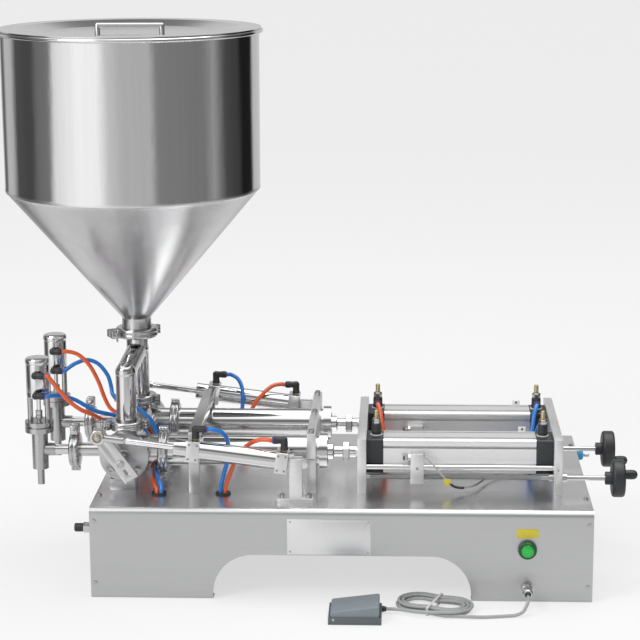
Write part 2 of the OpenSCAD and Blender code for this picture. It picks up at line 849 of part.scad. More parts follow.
module swing_bracket() difference() {
    y = -line_y - swing_offset;
    union() {
        block([bracket_foot_x, y - bracket_w/2, deck_z],
            [bracket_foot_x + bracket_foot_l, y + bracket_w/2, deck_z + bracket_foot_t]);
        block([bracket_post_x, y - bracket_w/2, deck_z],
            [bracket_post_x + bracket_post_l, y + bracket_w/2, deck_z + bracket_h]);
    }
    block([bracket_post_x - overrun, y - ear_w/2 - free_gap, deck_z + bracket_slot_h],
        [bracket_post_x + bracket_post_l + overrun, y + ear_w/2 + free_gap, deck_z + bracket_h + overrun]);
    for (x = bracket_screws) translate([x, y, 0])
        bar_z(deck_z + sheet_t, deck_z + bracket_foot_t + overrun, m6_d + 2*screw_gap);
}
module bracket_pin() translate([swing_pivot.x, -line_y - swing_offset, swing_pivot.y])
    bar_y(-ear_w/2 - free_gap, ear_w/2 + free_gap, pivot_pin_d);
module swing_brackets() color("gainsboro") {
    swing_bracket();
    bracket_pin();
    mirror([0, 1, 0]) {
        swing_bracket();
        bracket_pin();
    }
}
module cover_bolt_sites() mirrored_lines() translate([valve_x, -valve_front - cover_t, 0])
    for (a = [45:90:315]) rotate([0, a, 0]) translate([cover_bolt_r, 0, 0]) rotate([90, 0, 0]) children();
module frame_screws() color("gray") {
    for (y = [-1, 0, 1]*saddle_screw_y) translate([saddle_x + plate_t/2, y, deck_z + saddle_top_h])
        socket_screw(m6_d, m6_head_d, m6_head_h, saddle_top_h - line_h*saddle_screw_share);
    for (x = bracket_screws, side = [-1, 1])
        translate([x, side*(line_y + swing_offset), deck_z + bracket_foot_t])
            socket_screw(m6_d, m6_head_d, m6_head_h, bracket_foot_t - sheet_t - free_gap);
    cover_bolt_sites() socket_screw(m6_d, m6_head_d, m6_head_h, cover_t + flange_t - overrun);
    translate([air_end_x + plate_t/2, -plate_w/2, guide_z])
        bar_y(0, plate_w/2 - line_y - guide_out - guide_d/2 - free_gap, m4_d);
}

// Material cylinders
module cylinder_tubes() color("lightgray") both_lines() difference() {
    union() {
        bar_x(tube_left_x, tube_right_x, tube_d);
        bar_x(tube_left_x, tube_left_x + ferrule_t, big_ferrule_d);
    }
    bar_x(tube_left_x - overrun, tube_right_x + overrun, bore_d);
}
module tube_end_rings() color("lightgray") both_lines() difference() {
    bar_x(tube_right_x - ring_l, tube_right_x, ring_d);
    bar_x(tube_right_x - ring_l - overrun, tube_right_x + overrun, tube_d + 2*seat_gap);
}
module piston() {
    piston_end = piston_x + piston_l;
    air_end = air_end_x - cap_l - air_piston_gap;
    color("white") difference() {
        bar_x(piston_x, piston_end, bore_d - 2*running_gap);
        for (k = [1, 2]) rotate([0, 90, 0])
            translate([0, 0, piston_x + k*piston_l/3 - piston_groove_w/2]) difference() {
                cylinder(h = piston_groove_w, d = bore_d + overrun);
                translate([0, 0, -overrun])
                    cylinder(h = piston_groove_w + 2*overrun, d = bore_d - 2*piston_groove_h);
            }
    }
    color("silver") {
        bar_x(piston_end, piston_end + coupling_l, coupling_d);
        bar_x(piston_end, 0, rod_d);
        hex_x(0, nut_h, nut_af);
        bar_x(0, inner_plate_x - free_gap, rod_end_d);
        bar_x(0, air_end - air_piston_l, rod_d);
        bar_x(air_end - air_piston_l, air_end, air_bore - 2*running_gap);
    }
}
module front_piston() translate([0, -line_y, axis_z]) piston();
module rear_piston() translate([0, line_y, axis_z]) piston();

// Rotary valves
module valve_body() difference() {
    union() {
        bar_y(-valve_front, valve_back, valve_d);
        bar_y(-valve_front, flange_t - valve_front, 2*cover_r);
        bar_z(0, feed_joint_h, feed_port_d);
        bar_z(feed_joint_h - ferrule_t, feed_joint_h, small_ferrule_d);
        bar_x(0, tube_left_x - valve_x, cylinder_neck_d);
        bar_x(tube_left_x - ferrule_t - valve_x, tube_left_x - valve_x, big_ferrule_d);
        bar_x(outlet_joint_x - valve_x, 0, outlet_neck_d);
        bar_x(outlet_joint_x - valve_x, outlet_joint_x + ferrule_t - valve_x, small_ferrule_d);
    }
    bar_y(-valve_front - overrun, valve_back - valve_wall, rotor_d);
    bar_z(0, feed_joint_h + overrun, feed_bore);
    bar_x(0, tube_left_x - valve_x + overrun, bore_d);
    bar_x(outlet_joint_x - valve_x - overrun, 0, outlet_bore);
    for (a = [45:90:315]) rotate([0, a, 0]) translate([cover_bolt_r, 0, 0])
        bar_y(-valve_front - overrun, flange_t - valve_front - overrun/2, m6_d + 2*screw_gap);
}
module valve_bodies() color("silver") mirrored_lines() translate([valve_x, 0, 0]) valve_body();
module valve_cover() {
    front = -valve_front - cover_t;
    difference() {
        union() {
            bar_y(front, -valve_front, 2*cover_r);
            bar_y(front - shaft_boss_h, front, shaft_boss_d);
        }
        bar_y(front - shaft_boss_h - overrun, overrun - valve_front, shaft_d + 2*running_gap);
        for (a = [45:90:315]) rotate([0, a, 0]) translate([cover_bolt_r, 0, 0])
            bar_y(front - overrun, overrun - valve_front, m6_d + 2*screw_gap);
    }
    difference() {
        block([-foot_left, front, -line_h], [foot_right, front + foot_l, foot_h - line_h]);
        bar_y(front - overrun, flange_t - valve_front + free_gap, 2*cover_r + 2*free_gap);
        bar_y(-valve_front, front + foot_l + overrun, valve_d + 2*free_gap);
    }
}
module valve_covers() color("darkgray") mirrored_lines() translate([valve_x, 0, 0]) valve_cover();

// Outline of the lever, seen from the front
module lever_outline() {
    translate([-lever_tail, -lever_w/2]) square([lever_tail + lever_r, lever_w]);
    translate([lever_r, 0]) circle(lever_tip_r);
}
module valve_rotor() {
    inner_front = -valve_front + free_gap;
    inner_back = valve_back - valve_wall - free_gap;
    lever_front = eye_w/2 + lever_gap - swing_offset;
    vane_dir = lever_rest + valve_turn*vane_share;
    color("silver") rotate([0, -vane_dir, 0]) difference() {
        bar_y(inner_front, inner_back, rotor_d - 2*running_gap);
        block([-rotor_d, inner_front + rotor_cheek, -rotor_d],
            [vane_chord, inner_back - rotor_cheek, rotor_d]);
    }
    color("silver") bar_y(lever_front, inner_front, shaft_d);
    color("lightgray") rotate([0, -lever_rest, 0]) difference() {
        along_y(lever_front, lever_front + lever_t) lever_outline();
        translate([-lever_slot_place - lever_slot_l/2, 0, 0])
            block([0, lever_front - overrun, -lever_slot_w/2],
                [lever_slot_l, lever_front + lever_t + overrun, lever_slot_w/2]);
    }
    color("silver") hex_y(lever_front - lever_nut_h, lever_front, lever_nut_af);
}
module front_valve_rotor() translate([valve_x, -line_y, axis_z]) valve_rotor();
module rear_valve_rotor() mirror([0, 1, 0]) translate([valve_x, -line_y, axis_z]) valve_rotor();

// Product pipes, hopper and clamps
module manifold_struts(d_top, d_leg, extra) {
    knee_z = axis_z + manifold_knee_h;
    split = [hopper_x, 0, manifold_split_z];
    translate([hopper_x, 0, 0]) bar_z(manifold_split_z, neck_joint_z + extra, d_top);
    translate(split) sphere(d = d_top + joint_swell);
    for (side = [-1, 1]) {
        knee = [valve_x, side*line_y, knee_z];
        strut(split, knee, d_leg);
        translate(knee) sphere(d = d_leg + joint_swell);
        translate([valve_x, side*line_y, 0]) bar_z(axis_z + feed_joint_h - extra, knee_z, d_leg);
    }
}
module feed_manifold() color("silver") difference() {
    union() {
        manifold_struts(manifold_d, leg_d, 0);
        translate([hopper_x, 0, 0]) bar_z(neck_joint_z - ferrule_t, neck_joint_z, big_ferrule_d);
        both_lines() translate([valve_x, 0, 0])
            bar_z(feed_joint_h, feed_joint_h + ferrule_t, small_ferrule_d);
    }
    manifold_struts(manifold_bore, leg_bore, overrun);
}

// Hinged clamp around two ferrules, along Z, its joint at zero and its wing nut on -Y
module clamp(ferrule_d, pipe_d) {
    ring_r = ferrule_d/2 + clamp_wall;
    lug_y = -ring_r - clamp_lug_l/2;
    difference() {
        union() {
            bar_z(-clamp_w/2, clamp_w/2, 2*ring_r);
            block([-clamp_lug_w, -ring_r - clamp_lug_l, -clamp_w/2 + overrun],
                [clamp_lug_w, 0, clamp_w/2 - overrun]);
            block([-clamp_lug_w/2, 0, -clamp_w/2 + overrun],
                [clamp_lug_w/2, ring_r + clamp_lug_l/2, clamp_w/2 - overrun]);
        }
        bar_z(-ferrule_t - seat_gap, ferrule_t + seat_gap, ferrule_d + 2*seat_gap);
        bar_z(-clamp_w, clamp_w, pipe_d + 4*free_gap);
        block([-wing_t/2, -ring_r - clamp_lug_l - overrun, -clamp_w], [wing_t/2, 0, clamp_w]);
        translate([0, lug_y, 0])
            bar_x(-clamp_lug_w - overrun, clamp_lug_w + overrun, clamp_bolt_d + 2*seat_gap);
    }
    translate([0, lug_y, 0]) {
        bar_x(-clamp_lug_w - wing_l, clamp_bolt_l - clamp_lug_w - wing_l, clamp_bolt_d);
        bar_x(clamp_lug_w, clamp_lug_w + wing_l, wing_d);
        block([clamp_lug_w + wing_l/4, -wing_t/2, -wing_span/2],
            [clamp_lug_w + wing_l, wing_t/2, wing_span/2]);
        bar_x(-clamp_lug_w - wing_l/2, -clamp_lug_w, wing_d);
    }
}
module pipe_clamps() color("silver") {
    translate([hopper_x, 0, neck_joint_z]) rotate([0, 0, -60]) clamp(big_ferrule_d, neck_d);
    mirrored_lines() {
        translate([valve_x, 0, feed_joint_h]) rotate([0, 0, -80]) clamp(small_ferrule_d, feed_port_d);
        translate([tube_left_x, 0, 0]) rotate([0, 90, 0]) rotate([0, 0, 90])
            clamp(big_ferrule_d, tube_d);
        translate([outlet_joint_x, 0, 0]) rotate([0, -90, 0]) rotate([0, 0, 90])
            clamp(small_ferrule_d, outlet_neck_d);
    }
}
module hopper() color("silver") translate([hopper_x, 0, 0]) {
    rotate_extrude($fn = 128) difference() {
        union() {
            polygon([
                [0, neck_joint_z], [big_ferrule_d/2, neck_joint_z],
                [big_ferrule_d/2, neck_joint_z + ferrule_t], [neck_d/2, neck_joint_z + ferrule_t],
                [neck_d/2, cone_low_z], [hopper_r, cone_top_z], [hopper_r, rim_z], [0, rim_z]
            ]);
            translate([hopper_r + rim_bead_d/2 - overrun/2, rim_z - rim_bead_d/2]) circle(d = rim_bead_d);
        }
        polygon([
            [0, neck_joint_z - overrun], [neck_bore/2, neck_joint_z - overrun], [neck_bore/2, cone_low_z],
            [hopper_r - hopper_t, cone_top_z], [hopper_r - hopper_t, rim_z + overrun], [0, rim_z + overrun]
        ]);
    }
}
module hopper_lid() color("silver") translate([hopper_x, 0, rim_z + free_gap]) {
    rotate_extrude($fn = 128) polygon([
        [0, -lid_dish_h], [lid_dish_low_d/2, -lid_dish_h], [lid_dish_d/2, 0], [lid_r, 0], [lid_r, lid_t],
        [lid_dish_d/2 - lid_t, lid_t], [lid_dish_low_d/2 - lid_t, lid_t - lid_dish_h], [0, lid_t - lid_dish_h]
    ]);
    top = lid_t - lid_dish_h;
    for (side = [-1, 1]) translate([side*handle_span/2, 0, 0])
        bar_z(top, top + handle_rise - handle_d, handle_d);
    for (side = [-1, 1]) translate([side*handle_span/2, 0, top + handle_rise - handle_d])
        sphere(d = handle_d);
    translate([0, 0, top + handle_rise - handle_d]) bar_x(-handle_span/2, handle_span/2, handle_d);
}
module outlet_pipes() color("lightgray") both_lines() difference() {
    union() {
        bar_x(nozzle_d/2 + branch_l/2 - nozzle_reach, outlet_joint_x, outlet_d);
        bar_x(outlet_joint_x - ferrule_t, outlet_joint_x, small_ferrule_d);
    }
    bar_x(-nozzle_reach, outlet_joint_x + overrun, outlet_bore);
}

// Shut-off nozzles
module nozzle_body() {
    difference() {
        union() {
            bar_z(nozzle_low_z, nozzle_ring_z, nozzle_d);
            bar_z(tip_low_z, nozzle_low_z, tip_d);
            translate([0, 0, axis_z]) bar_x(0, nozzle_d/2 + branch_l, branch_d);
            bar_z(nozzle_ring_z, nozzle_yoke_z, nozzle_ring_d);
        }
        bar_z(nozzle_low_z + clamp_wall/2, nozzle_ring_z, nozzle_bore);
        bar_z(tip_low_z - overrun, nozzle_ring_z, tip_bore);
        bar_z(nozzle_low_z, nozzle_yoke_z + overrun, plunger_d + 2*running_gap);
        translate([0, 0, axis_z]) {
            bar_x(0, nozzle_d/2 + branch_l + overrun, outlet_bore);
            bar_x(nozzle_d/2 + branch_l/2 - seat_gap, nozzle_d/2 + branch_l + overrun,
                outlet_d + 2*seat_gap);
        }
        translate([0, 0, nozzle_yoke_z - wing_t]) difference() {
            bar_z(-nozzle_d/4, -nozzle_d/8, nozzle_ring_d + overrun);
            bar_z(-nozzle_d, nozzle_d, nozzle_ring_d - clamp_wall);
        }
    }
    for (side = [-1, 1]) translate([side*yoke_post_x, 0, 0])
        bar_z(nozzle_yoke_z, nozzle_actuator_z, yoke_post_d);
}
module nozzle_places() for (side = [-1, 1]) translate([-nozzle_reach, side*line_y, 0]) children();
module nozzle_bodies() color("silver") nozzle_places() nozzle_body();
module fitting(z) translate([0, 0, z]) {
    y = -actuator_d/2 - fitting_stub + fitting_d/2;
    bar_y(-actuator_d/2 - fitting_stub, -actuator_d/2 + overrun, fitting_d);
    translate([0, y - fitting_d/2, 0]) bar_x(0, fitting_l, fitting_d);
    translate([0, y - fitting_d/2, 0]) sphere(d = fitting_d);
}
module nozzle_cylinders() nozzle_places() {
    color("lightgray") difference() {
        union() {
            bar_z(nozzle_actuator_z, nozzle_top_z, actuator_d);
            bar_z(nozzle_top_z - actuator_cap_h, nozzle_top_z - wing_t, actuator_d + 2*overrun);
        }
        bar_z(nozzle_actuator_z + actuator_cap_h, nozzle_top_z - actuator_cap_h, actuator_bore);
        bar_z(nozzle_actuator_z - overrun, nozzle_top_z - actuator_cap_h, plunger_d + 2*running_gap);
    }
    color("black") difference() {
        union() {
            fitting(nozzle_actuator_z + fitting_low_h);
            fitting(nozzle_actuator_z + fitting_high_h);
        }
        bar_z(nozzle_actuator_z - overrun, nozzle_top_z + overrun, actuator_d + 2*seat_gap);
    }
}
module nozzle_plunger() color("silver") {
    bar_z(nozzle_low_z - plug_h, nozzle_low_z, tip_bore - 2*running_gap);
    bar_z(nozzle_low_z, nozzle_actuator_z + actuator_cap_h + free_gap, plunger_d);
    translate([0, 0, nozzle_yoke_z + plunger_nut_l/4]) bar_z(0, plunger_nut_l, plunger_nut_d);
    translate([0, 0, nozzle_actuator_z + actuator_cap_h + free_gap])
        bar_z(0, actuator_piston_h, actuator_bore - 2*running_gap);
}
module front_nozzle_plunger() translate([-nozzle_reach, -line_y, 0]) nozzle_plunger();
module rear_nozzle_plunger() translate([-nozzle_reach, line_y, 0]) nozzle_plunger();

// Air cylinders that drive the pistons
air_start_x = inner_plate_x + plate_t;
cap_xs = [air_start_x, air_end_x - cap_l];
module cap_screw_marks(x) for (a = [-1, 1], b = [-1, 1])
    translate([0, a*cap_screw_offset, b*cap_screw_offset])
        bar_x(x - overrun, x + cap_screw_h, cap_screw_d);
module air_cylinder_caps() color("darkslategray") both_lines() for (i = [0, 1]) difference() {
    along_x(cap_xs[i], cap_xs[i] + cap_l) round_square(air_side, air_corner_r);
    if (i == 0) bar_x(cap_xs[i] - overrun, cap_xs[i] + cap_l + overrun, rod_d + 2*running_gap);
    translate([i == 0 ? 0 : cap_l - cap_screw_h, 0, 0]) cap_screw_marks(cap_xs[i]);
}
module slot_cut() translate([slot_offset, air_side/2]) {
    translate([-slot_w/2, -slot_depth]) square([slot_w, slot_depth + overrun]);
    translate([-slot_inner_w/2, -slot_lip - slot_inner_h]) square([slot_inner_w, slot_inner_h]);
}
module air_cylinder_barrels() color("lightgray") both_lines() difference() {
    along_x(air_start_x + cap_l, air_end_x - cap_l) difference() {
        round_square(air_side, air_corner_r);
        for (a = [0:90:270]) rotate(a) {
            slot_cut();
            mirror([1, 0]) slot_cut();
        }
    }
    bar_x(air_start_x, air_end_x, air_bore);
}
module speed_controller() {
    color("white") difference() {
        bar_z(0, control_ring_h, control_ring_d);
        bar_z(-overrun, control_ring_h + overrun, control_body_d - control_ring_h);
    }
    color("black") {
        bar_z(control_ring_h, control_body_h, control_body_d);
        bar_z(0, control_ring_h, control_body_d - 2*control_ring_h);
        translate([0, 0, control_arm_h]) bar_y(0, control_body_d/2 + control_arm_l, control_arm_d);
    }
    color("silver") {
        hex_z(control_body_h, control_body_h + control_nut_h, control_nut_af);
        bar_z(control_body_h + control_nut_h, control_body_h + control_nut_h + control_screw_h,
            control_screw_d);
    }
}
module speed_controllers() for (x = [air_start_x + control_inset, air_end_x - control_inset])
    mirrored_lines() translate([x, 0, air_side/2]) speed_controller();

// Stroke stop
module guide_rods() color("silver") guide_places()
    bar_x(inner_plate_x + overrun, air_end_x + plate_t - overrun, guide_d);
module lead_screw() color("silver") {
    bar_x(lead_start_x, lead_end_x, screw_d);
    bar_x(air_end_x + plate_t + free_gap, air_end_x + plate_t + free_gap + collar_l, collar_d);
    bar_x(air_end_x - free_gap - collar_l, air_end_x - free_gap, collar_d);
}
module lead_at(side) translate([0, side*line_y - guide_out, lead_z]) children();
module front_lead_screw() lead_at(-1) lead_screw();
module rear_lead_screw() lead_at(1) lead_screw();
module handwheel() color("black") {
    wheel_x = lead_end_x + hub_l;
    difference() {
        union() {
            bar_x(lead_end_x, wheel_x + wheel_w, hub_d);
            bar_x(wheel_x, wheel_x + wheel_w, wheel_d);
        }
        for (x = [wheel_x - overrun, wheel_x + wheel_web_w]) difference() {
            bar_x(x, x + (x < wheel_x ? overrun : wheel_w), wheel_d - 2*wheel_rim_w);
            bar_x(x - overrun, x + wheel_w + overrun, hub_d);
        }
    }
    translate([0, grip_offset, 0]) {
        bar_x(wheel_x + wheel_web_w, wheel_x + wheel_w, grip_stem_d);
        bar_x(wheel_x + wheel_w, wheel_x + wheel_w + grip_l - grip_d/2, grip_d);
        translate([wheel_x + wheel_w + grip_l - grip_d/2, 0, 0]) sphere(d = grip_d);
    }
}
module front_handwheel() lead_at(-1) handwheel();
module rear_handwheel() lead_at(1) rotate([rear_grip_turn, 0, 0]) handwheel();
module stop_block() {
    color("gainsboro") difference() {
        block([stop_x, -stop_out, deck_z + stop_low_h],
            [stop_x + stop_l, stop_w - stop_out, deck_z + stop_high_h]);
        translate([0, -guide_out, guide_z])
            bar_x(stop_x - overrun, stop_x + stop_l + overrun, guide_d + 2*running_gap);
        translate([0, -guide_out, lead_z])
            bar_x(stop_x - overrun, stop_x + stop_l + overrun, screw_d + 2*running_gap);
        translate([stop_x + stop_l/2, 0, (guide_z + lead_z)/2 + screw_d])
            bar_y(-stop_out - overrun, stop_screw_d - stop_out, stop_screw_d);
        translate([0, -guide_out, deck_z + sensor_h])
            bar_x(stop_x - overrun, stop_x + stop_l/2, sensor_d + 2*seat_gap);
    }
    color("dimgray") translate([0, -guide_out, deck_z + sensor_h])
        bar_x(stop_x - sensor_l, stop_x + stop_l/2, sensor_d);
}
module front_stop_block() translate([0, -line_y, 0]) stop_block();
module rear_stop_block() translate([0, line_y, 0]) stop_block();

// Swing cylinders: local +X points from the rear pivot to the rod end
eye_point = [valve_x, axis_z] + lever_r*[cos(lever_rest), sin(lever_rest)];
swing_vector = eye_point - swing_pivot;
swing_length = norm(swing_vector);
swing_angle = atan2(swing_vector.y, swing_vector.x);
module swing_frame() translate([swing_pivot.x, -line_y - swing_offset, swing_pivot.y])
    rotate([0, -swing_angle, 0]) children();
tube_start = rear_cap_start + rear_cap_l;
tube_end = tube_start + swing_tube_l;
nose_start = tube_end + front_cap_l;
module swing_elbow(x, turn) translate([x, 0, -swing_cap_side/2]) {
    bar_z(-elbow_rise, 0, elbow_d*elbow_neck_share);
    translate([0, 0, -elbow_rise]) {
        sphere(d = elbow_d);
        rotate([0, turn, 0]) bar_x(0, elbow_arm, elbow_d);
    }
}
module swing_cylinder() {
    color("lightgray") difference() {
        union() {
            along_x(rear_cap_start, tube_start) round_square(swing_cap_side, overrun);
            along_x(tube_end, nose_start) round_square(swing_cap_side, overrun);
            bar_x(tube_start, tube_end, swing_tube_d);
            bar_x(nose_start, nose_start + nose_l, nose_d);
            block([-ear_back, -ear_w/2, -ear_h/2], [rear_cap_start, ear_w/2, ear_h/2]);
        }
        bar_x(tube_start, tube_end, swing_bore);
        bar_x(tube_end - overrun, nose_start + nose_l + overrun, swing_rod_d + 2*running_gap);
        bar_y(-ear_w, ear_w, pivot_pin_d + 2*running_gap);
    }
    color("black") {
        swing_elbow(tube_start - rear_cap_l/2, swing_angle - 180);
        swing_elbow(tube_end + front_cap_l/2, swing_angle);
    }
}
module front_swing_cylinder() swing_frame() swing_cylinder();
module rear_swing_cylinder() mirror([0, 1, 0]) swing_frame() swing_cylinder();
module swing_rod() {
    piston_end = tube_end - swing_piston_gap;
    color("silver") {
        bar_x(piston_end - swing_piston_l, piston_end, swing_bore - 2*running_gap);
        bar_x(piston_end, swing_length - eye_d/2 - barrel_l, swing_rod_d);
        bar_x(swing_length - eye_d/2 - barrel_l, swing_length - eye_d/2 + overrun, barrel_d);
        translate([swing_length, 0, 0]) difference() {
            bar_y(-eye_w/2, eye_w/2, eye_d);
            bar_y(-eye_w, eye_w, eye_ball_d + 2*seat_gap);
        }
    }
    color("goldenrod") translate([swing_length, 0, 0]) difference() {
        bar_y(-eye_w/2, eye_w/2, eye_ball_d);
        bar_y(-eye_w, eye_w, eye_hole_d);
    }
    color("silver") translate([swing_length, 0, 0])
        bar_y(-eye_w/2 - m4_head_h, eye_w/2, eye_hole_d - 2*seat_gap);
}
module front_swing_rod() swing_frame() swing_rod();
module rear_swing_rod() mirror([0, 1, 0]) swing_frame() swing_rod();

// Air hoses: each ends at a valve of the bank under the deck
function flipped(p) = [for (q = p) [q.x, -q.y, q.z]];
port_z = deck_z - sheet_t - port_drop_h;
function valve_place(i) = bank_x + (i + 0.5)*bank_l/bank_valve_count;
function valve_port(i, level) = [valve_place(i), -bank_w/2 - seat_gap, port_z - level*port_step];
end_port_x = valve_place(bank_valve_count - 1) + bank_valve_w/2 + seat_gap;
function run_to(p, port, back, far, last) =
    let (q = p[len(p) - 1], bend = q + port_bend_share*(port - q), near = q + port_near_share*(port - q))
    concat(p, [[q.x, q.y, port.z + port_turn_h], [bend.x, bend.y, port.z + port_bend_h],
        [near.x, near.y, port.z]], far, [port + back], last, [port]);
function to_front_port(p, i, level) =
    let (port = valve_port(i, level), back = [0, -port_run, 0])
    run_to(p, port, back, [port + port_far_share*back], [port + port_straight_share*back]);
function to_end_port(p, level, runs) =
    let (port = [end_port_x, p[len(p) - 1].y, port_z - level*port_step], back = [port_run, 0, 0])
    run_to(p, port, back, [for (k = runs) port + k*back], []);

// A hose leaves its fitting straight for a few millimetres
function led(p, way) = concat([p[0], p[0] + way/2, p[0] + way], [for (i = [1:len(p) - 1]) p[i]]);
module hose(p) sweep(smooth_path(p, 2), hose_d, 6);
module mirrored_hose(p) {
    hose(p);
    hose(flipped(p));
}
module blue_hoses() color("royalblue") {
    out = [hose_lead, 0, 0];
    hose(to_front_port(led(concat(front_blue_points, blue_tail_points), out), 0, 0));
    hose(flipped(to_front_port(led(concat(flipped(rear_blue_points), blue_tail_points), out), 0, 0)));
    mirrored_hose(to_front_port(led(swing_blue_points, out), 1, 1));
    mirrored_hose(to_end_port(led(right_port_points, [0, hose_lead, 0]), end_port_level, [port_far_share]));
}
module orange_hoses() color("orangered") {
    out = [hose_lead, 0, 0];
    hose(to_front_port(led(concat(front_orange_points, orange_tail_points), out), 0, 1));
    hose(flipped(to_front_port(led(concat(flipped(rear_orange_points), orange_tail_points), out), 0, 1)));
    mirrored_hose(to_front_port(led(swing_orange_points, -out), 1, 0));
    mirrored_hose(to_end_port(led(left_port_points, [0, hose_lead, 0]), 0, []));
}
module sensor_leads() {
    color("gray") sweep(smooth_path(front_lead_points, 2), sensor_lead_d, 8);
    color("gray") sweep(smooth_path(rear_lead_points, 2), sensor_lead_d, 8);
    color("yellow") translate(tag_place) cube(tag_size);
}

// Air valves and electrics inside the cabinet
module valve_bank() {
    top = deck_z - sheet_t;
    color("silver") block([bank_x, -bank_w/2, top - bank_h], [bank_x + bank_l, bank_w/2, top]);
    color("black") for (i = [0:bank_valve_count - 1])
        translate([valve_place(i) - bank_valve_w/2, -bank_w/2, top - bank_h - bank_valve_h])
            cube([bank_valve_w, bank_w, bank_valve_h]);
}
module control_box() color("dimgray") block(
    [cabinet_l/2 - panel_t - control_l, control_y, control_z],
    [cabinet_l/2 - panel_t, control_y + control_w, control_z + control_h]);
module air_knob() translate([cabinet_l/2, knob_y, knob_z]) {
    color("deepskyblue") bar_x(knob_lift, knob_lift + knob_h, knob_d);
    color("silver") bar_x(-knob_drop, knob_lift + knob_h + knob_tip_l, knob_stem_d);
    color("silver") bar_x(-panel_t - free_gap - m4_head_h, -panel_t - free_gap, knob_d/2 + m4_head_h);
}

// Foot switch and its cord
module pedal_base() translate([pedal_x, pedal_y, 0]) {
    color("slategray") difference() {
        block([0, -pedal_w/2, 0], [pedal_l, pedal_w/2, pedal_rim_h]);
        block([pedal_wall, pedal_wall - pedal_w/2, pedal_wall],
            [pedal_l - pedal_wall, pedal_w/2 - pedal_wall, pedal_rim_h + overrun]);
        translate([0, cord_exit_y - pedal_y, cord_exit_z])
            bar_x(pedal_l - 2*pedal_wall, pedal_l + overrun, gland_d - pedal_wall);
    }
    color("silver") translate([pedal_pin_x, 0, pedal_pin_h])
        bar_y(pedal_wall - pedal_w/2, pedal_w/2 - pedal_wall, pedal_pin_d);
    color("silver") translate([pedal_spring_x, 0, 0]) bar_z(pedal_wall, pedal_spring_h, pedal_spring_d);
    color("black") translate([pedal_l, cord_exit_y - pedal_y, cord_exit_z]) bar_x(0, gland_l, gland_d);
}
module pedal_treadle() color("slategray") translate([pedal_x, pedal_y, 0]) {
    start = pedal_wall + treadle_gap;
    end = pedal_l - pedal_wall - treadle_gap;
    half_w = pedal_w/2 - pedal_wall - treadle_gap;
    difference() {
        along_y(-half_w, half_w) polygon([
            [start, treadle_heel_h], [pedal_pin_x + pedal_pin_d, treadle_heel_h], [end, treadle_base_h],
            [end, pedal_h], [start, treadle_low_h]
        ]);
        along_y(-half_w + treadle_t, half_w - treadle_t) polygon([
            [pedal_pin_x + 2*pedal_pin_d, 0], [end - treadle_t, 0],
            [end - treadle_t, pedal_h - treadle_t], [pedal_pin_x + 2*pedal_pin_d, treadle_low_h - treadle_t]
        ]);
        translate([pedal_pin_x, 0, pedal_pin_h]) bar_y(-pedal_w, pedal_w, pedal_pin_d + 2*running_gap);
    }
}
module cord_lead() color("gray") sweep(smooth_path(lead_points, 2), cord_d, 8);
module cord_tail() color("gray") sweep(smooth_path(tail_points, 2), cord_d, 8);

// The hank spirals in on its lower layer and out again on its upper one
function hank_depth(t) = min(t, hank_turns - t);
function hank_level(t) = min(1, max(0, 2*(t - hank_turns/2) + 0.5));
function hank_point(t) =
    let (angle = hank_start - 360*t, a = hank_a - hank_a_step*hank_depth(t), x = a*cos(angle),
        drawn = hank_pinch*exp(-x*x/(hank_pinch_w*hank_pinch_w)),
        y = (hank_b - hank_b_step*hank_depth(t) - drawn)*sin(angle))
    [hank_x + x*cos(hank_tilt) - y*sin(hank_tilt), hank_y + x*sin(hank_tilt) + y*cos(hank_tilt),
        cord_d/2 + hank_lift + hank_layer*hank_level(t)];
hank_steps = round(hank_turns*hank_rings);
hank_loops = [for (i = [0:hank_steps]) hank_point(i*hank_turns/hank_steps)];
hank_path = concat([hank_loops[0] + [cord_d, 0, 0]], hank_loops, [hank_loops[hank_steps] - [cord_d, 0, 0]]);
module cord_hank() color("gray") sweep(hank_path, cord_d, 6);
module cord_tie() color("white") translate([hank_x, hank_y, 0]) rotate([0, 0, hank_tilt]) {
    half_w = hank_b - hank_pinch + cord_d/2 + tie_gap;
    top = hank_lift + cord_d + hank_layer + tie_gap;
    difference() {
        block([-tie_w/2, -half_w - tie_t, 0], [tie_w/2, half_w + tie_t, top + tie_t]);
        block([-tie_w, -half_w, tie_t], [tie_w, half_w, top]);
    }
}

cabinet_shell();
end_panels();
panel_screws();
deck_grommets();
instruction_plate();
button_label();
button_housing();
cable_socket();
air_inlet();
cylinder_saddle();
saddle_cap();
drive_plates();
cylinder_bridge();
swing_brackets();
frame_screws();
cylinder_tubes();
tube_end_rings();
valve_bodies();
valve_covers();
feed_manifold();
pipe_clamps();
hopper();
hopper_lid();
outlet_pipes();
nozzle_bodies();
nozzle_cylinders();
air_cylinder_caps();
air_cylinder_barrels();
speed_controllers();
guide_rods();
sensor_leads();
blue_hoses();
orange_hoses();
valve_bank();
control_box();
cord_lead();
cord_hank();
cord_tail();
cord_tie();
cord_plug();
pedal_base();
pedal_treadle();
front_piston();
rear_piston();
front_valve_rotor();
rear_valve_rotor();
front_swing_cylinder();
rear_swing_cylinder();
front_swing_rod();
rear_swing_rod();
front_nozzle_plunger();
rear_nozzle_plunger();
front_lead_screw();
rear_lead_screw();
front_handwheel();
rear_handwheel();
front_stop_block();
rear_stop_block();
start_button();
air_knob();
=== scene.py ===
import math

import bmesh
import bpy
from mathutils import Matrix, Vector


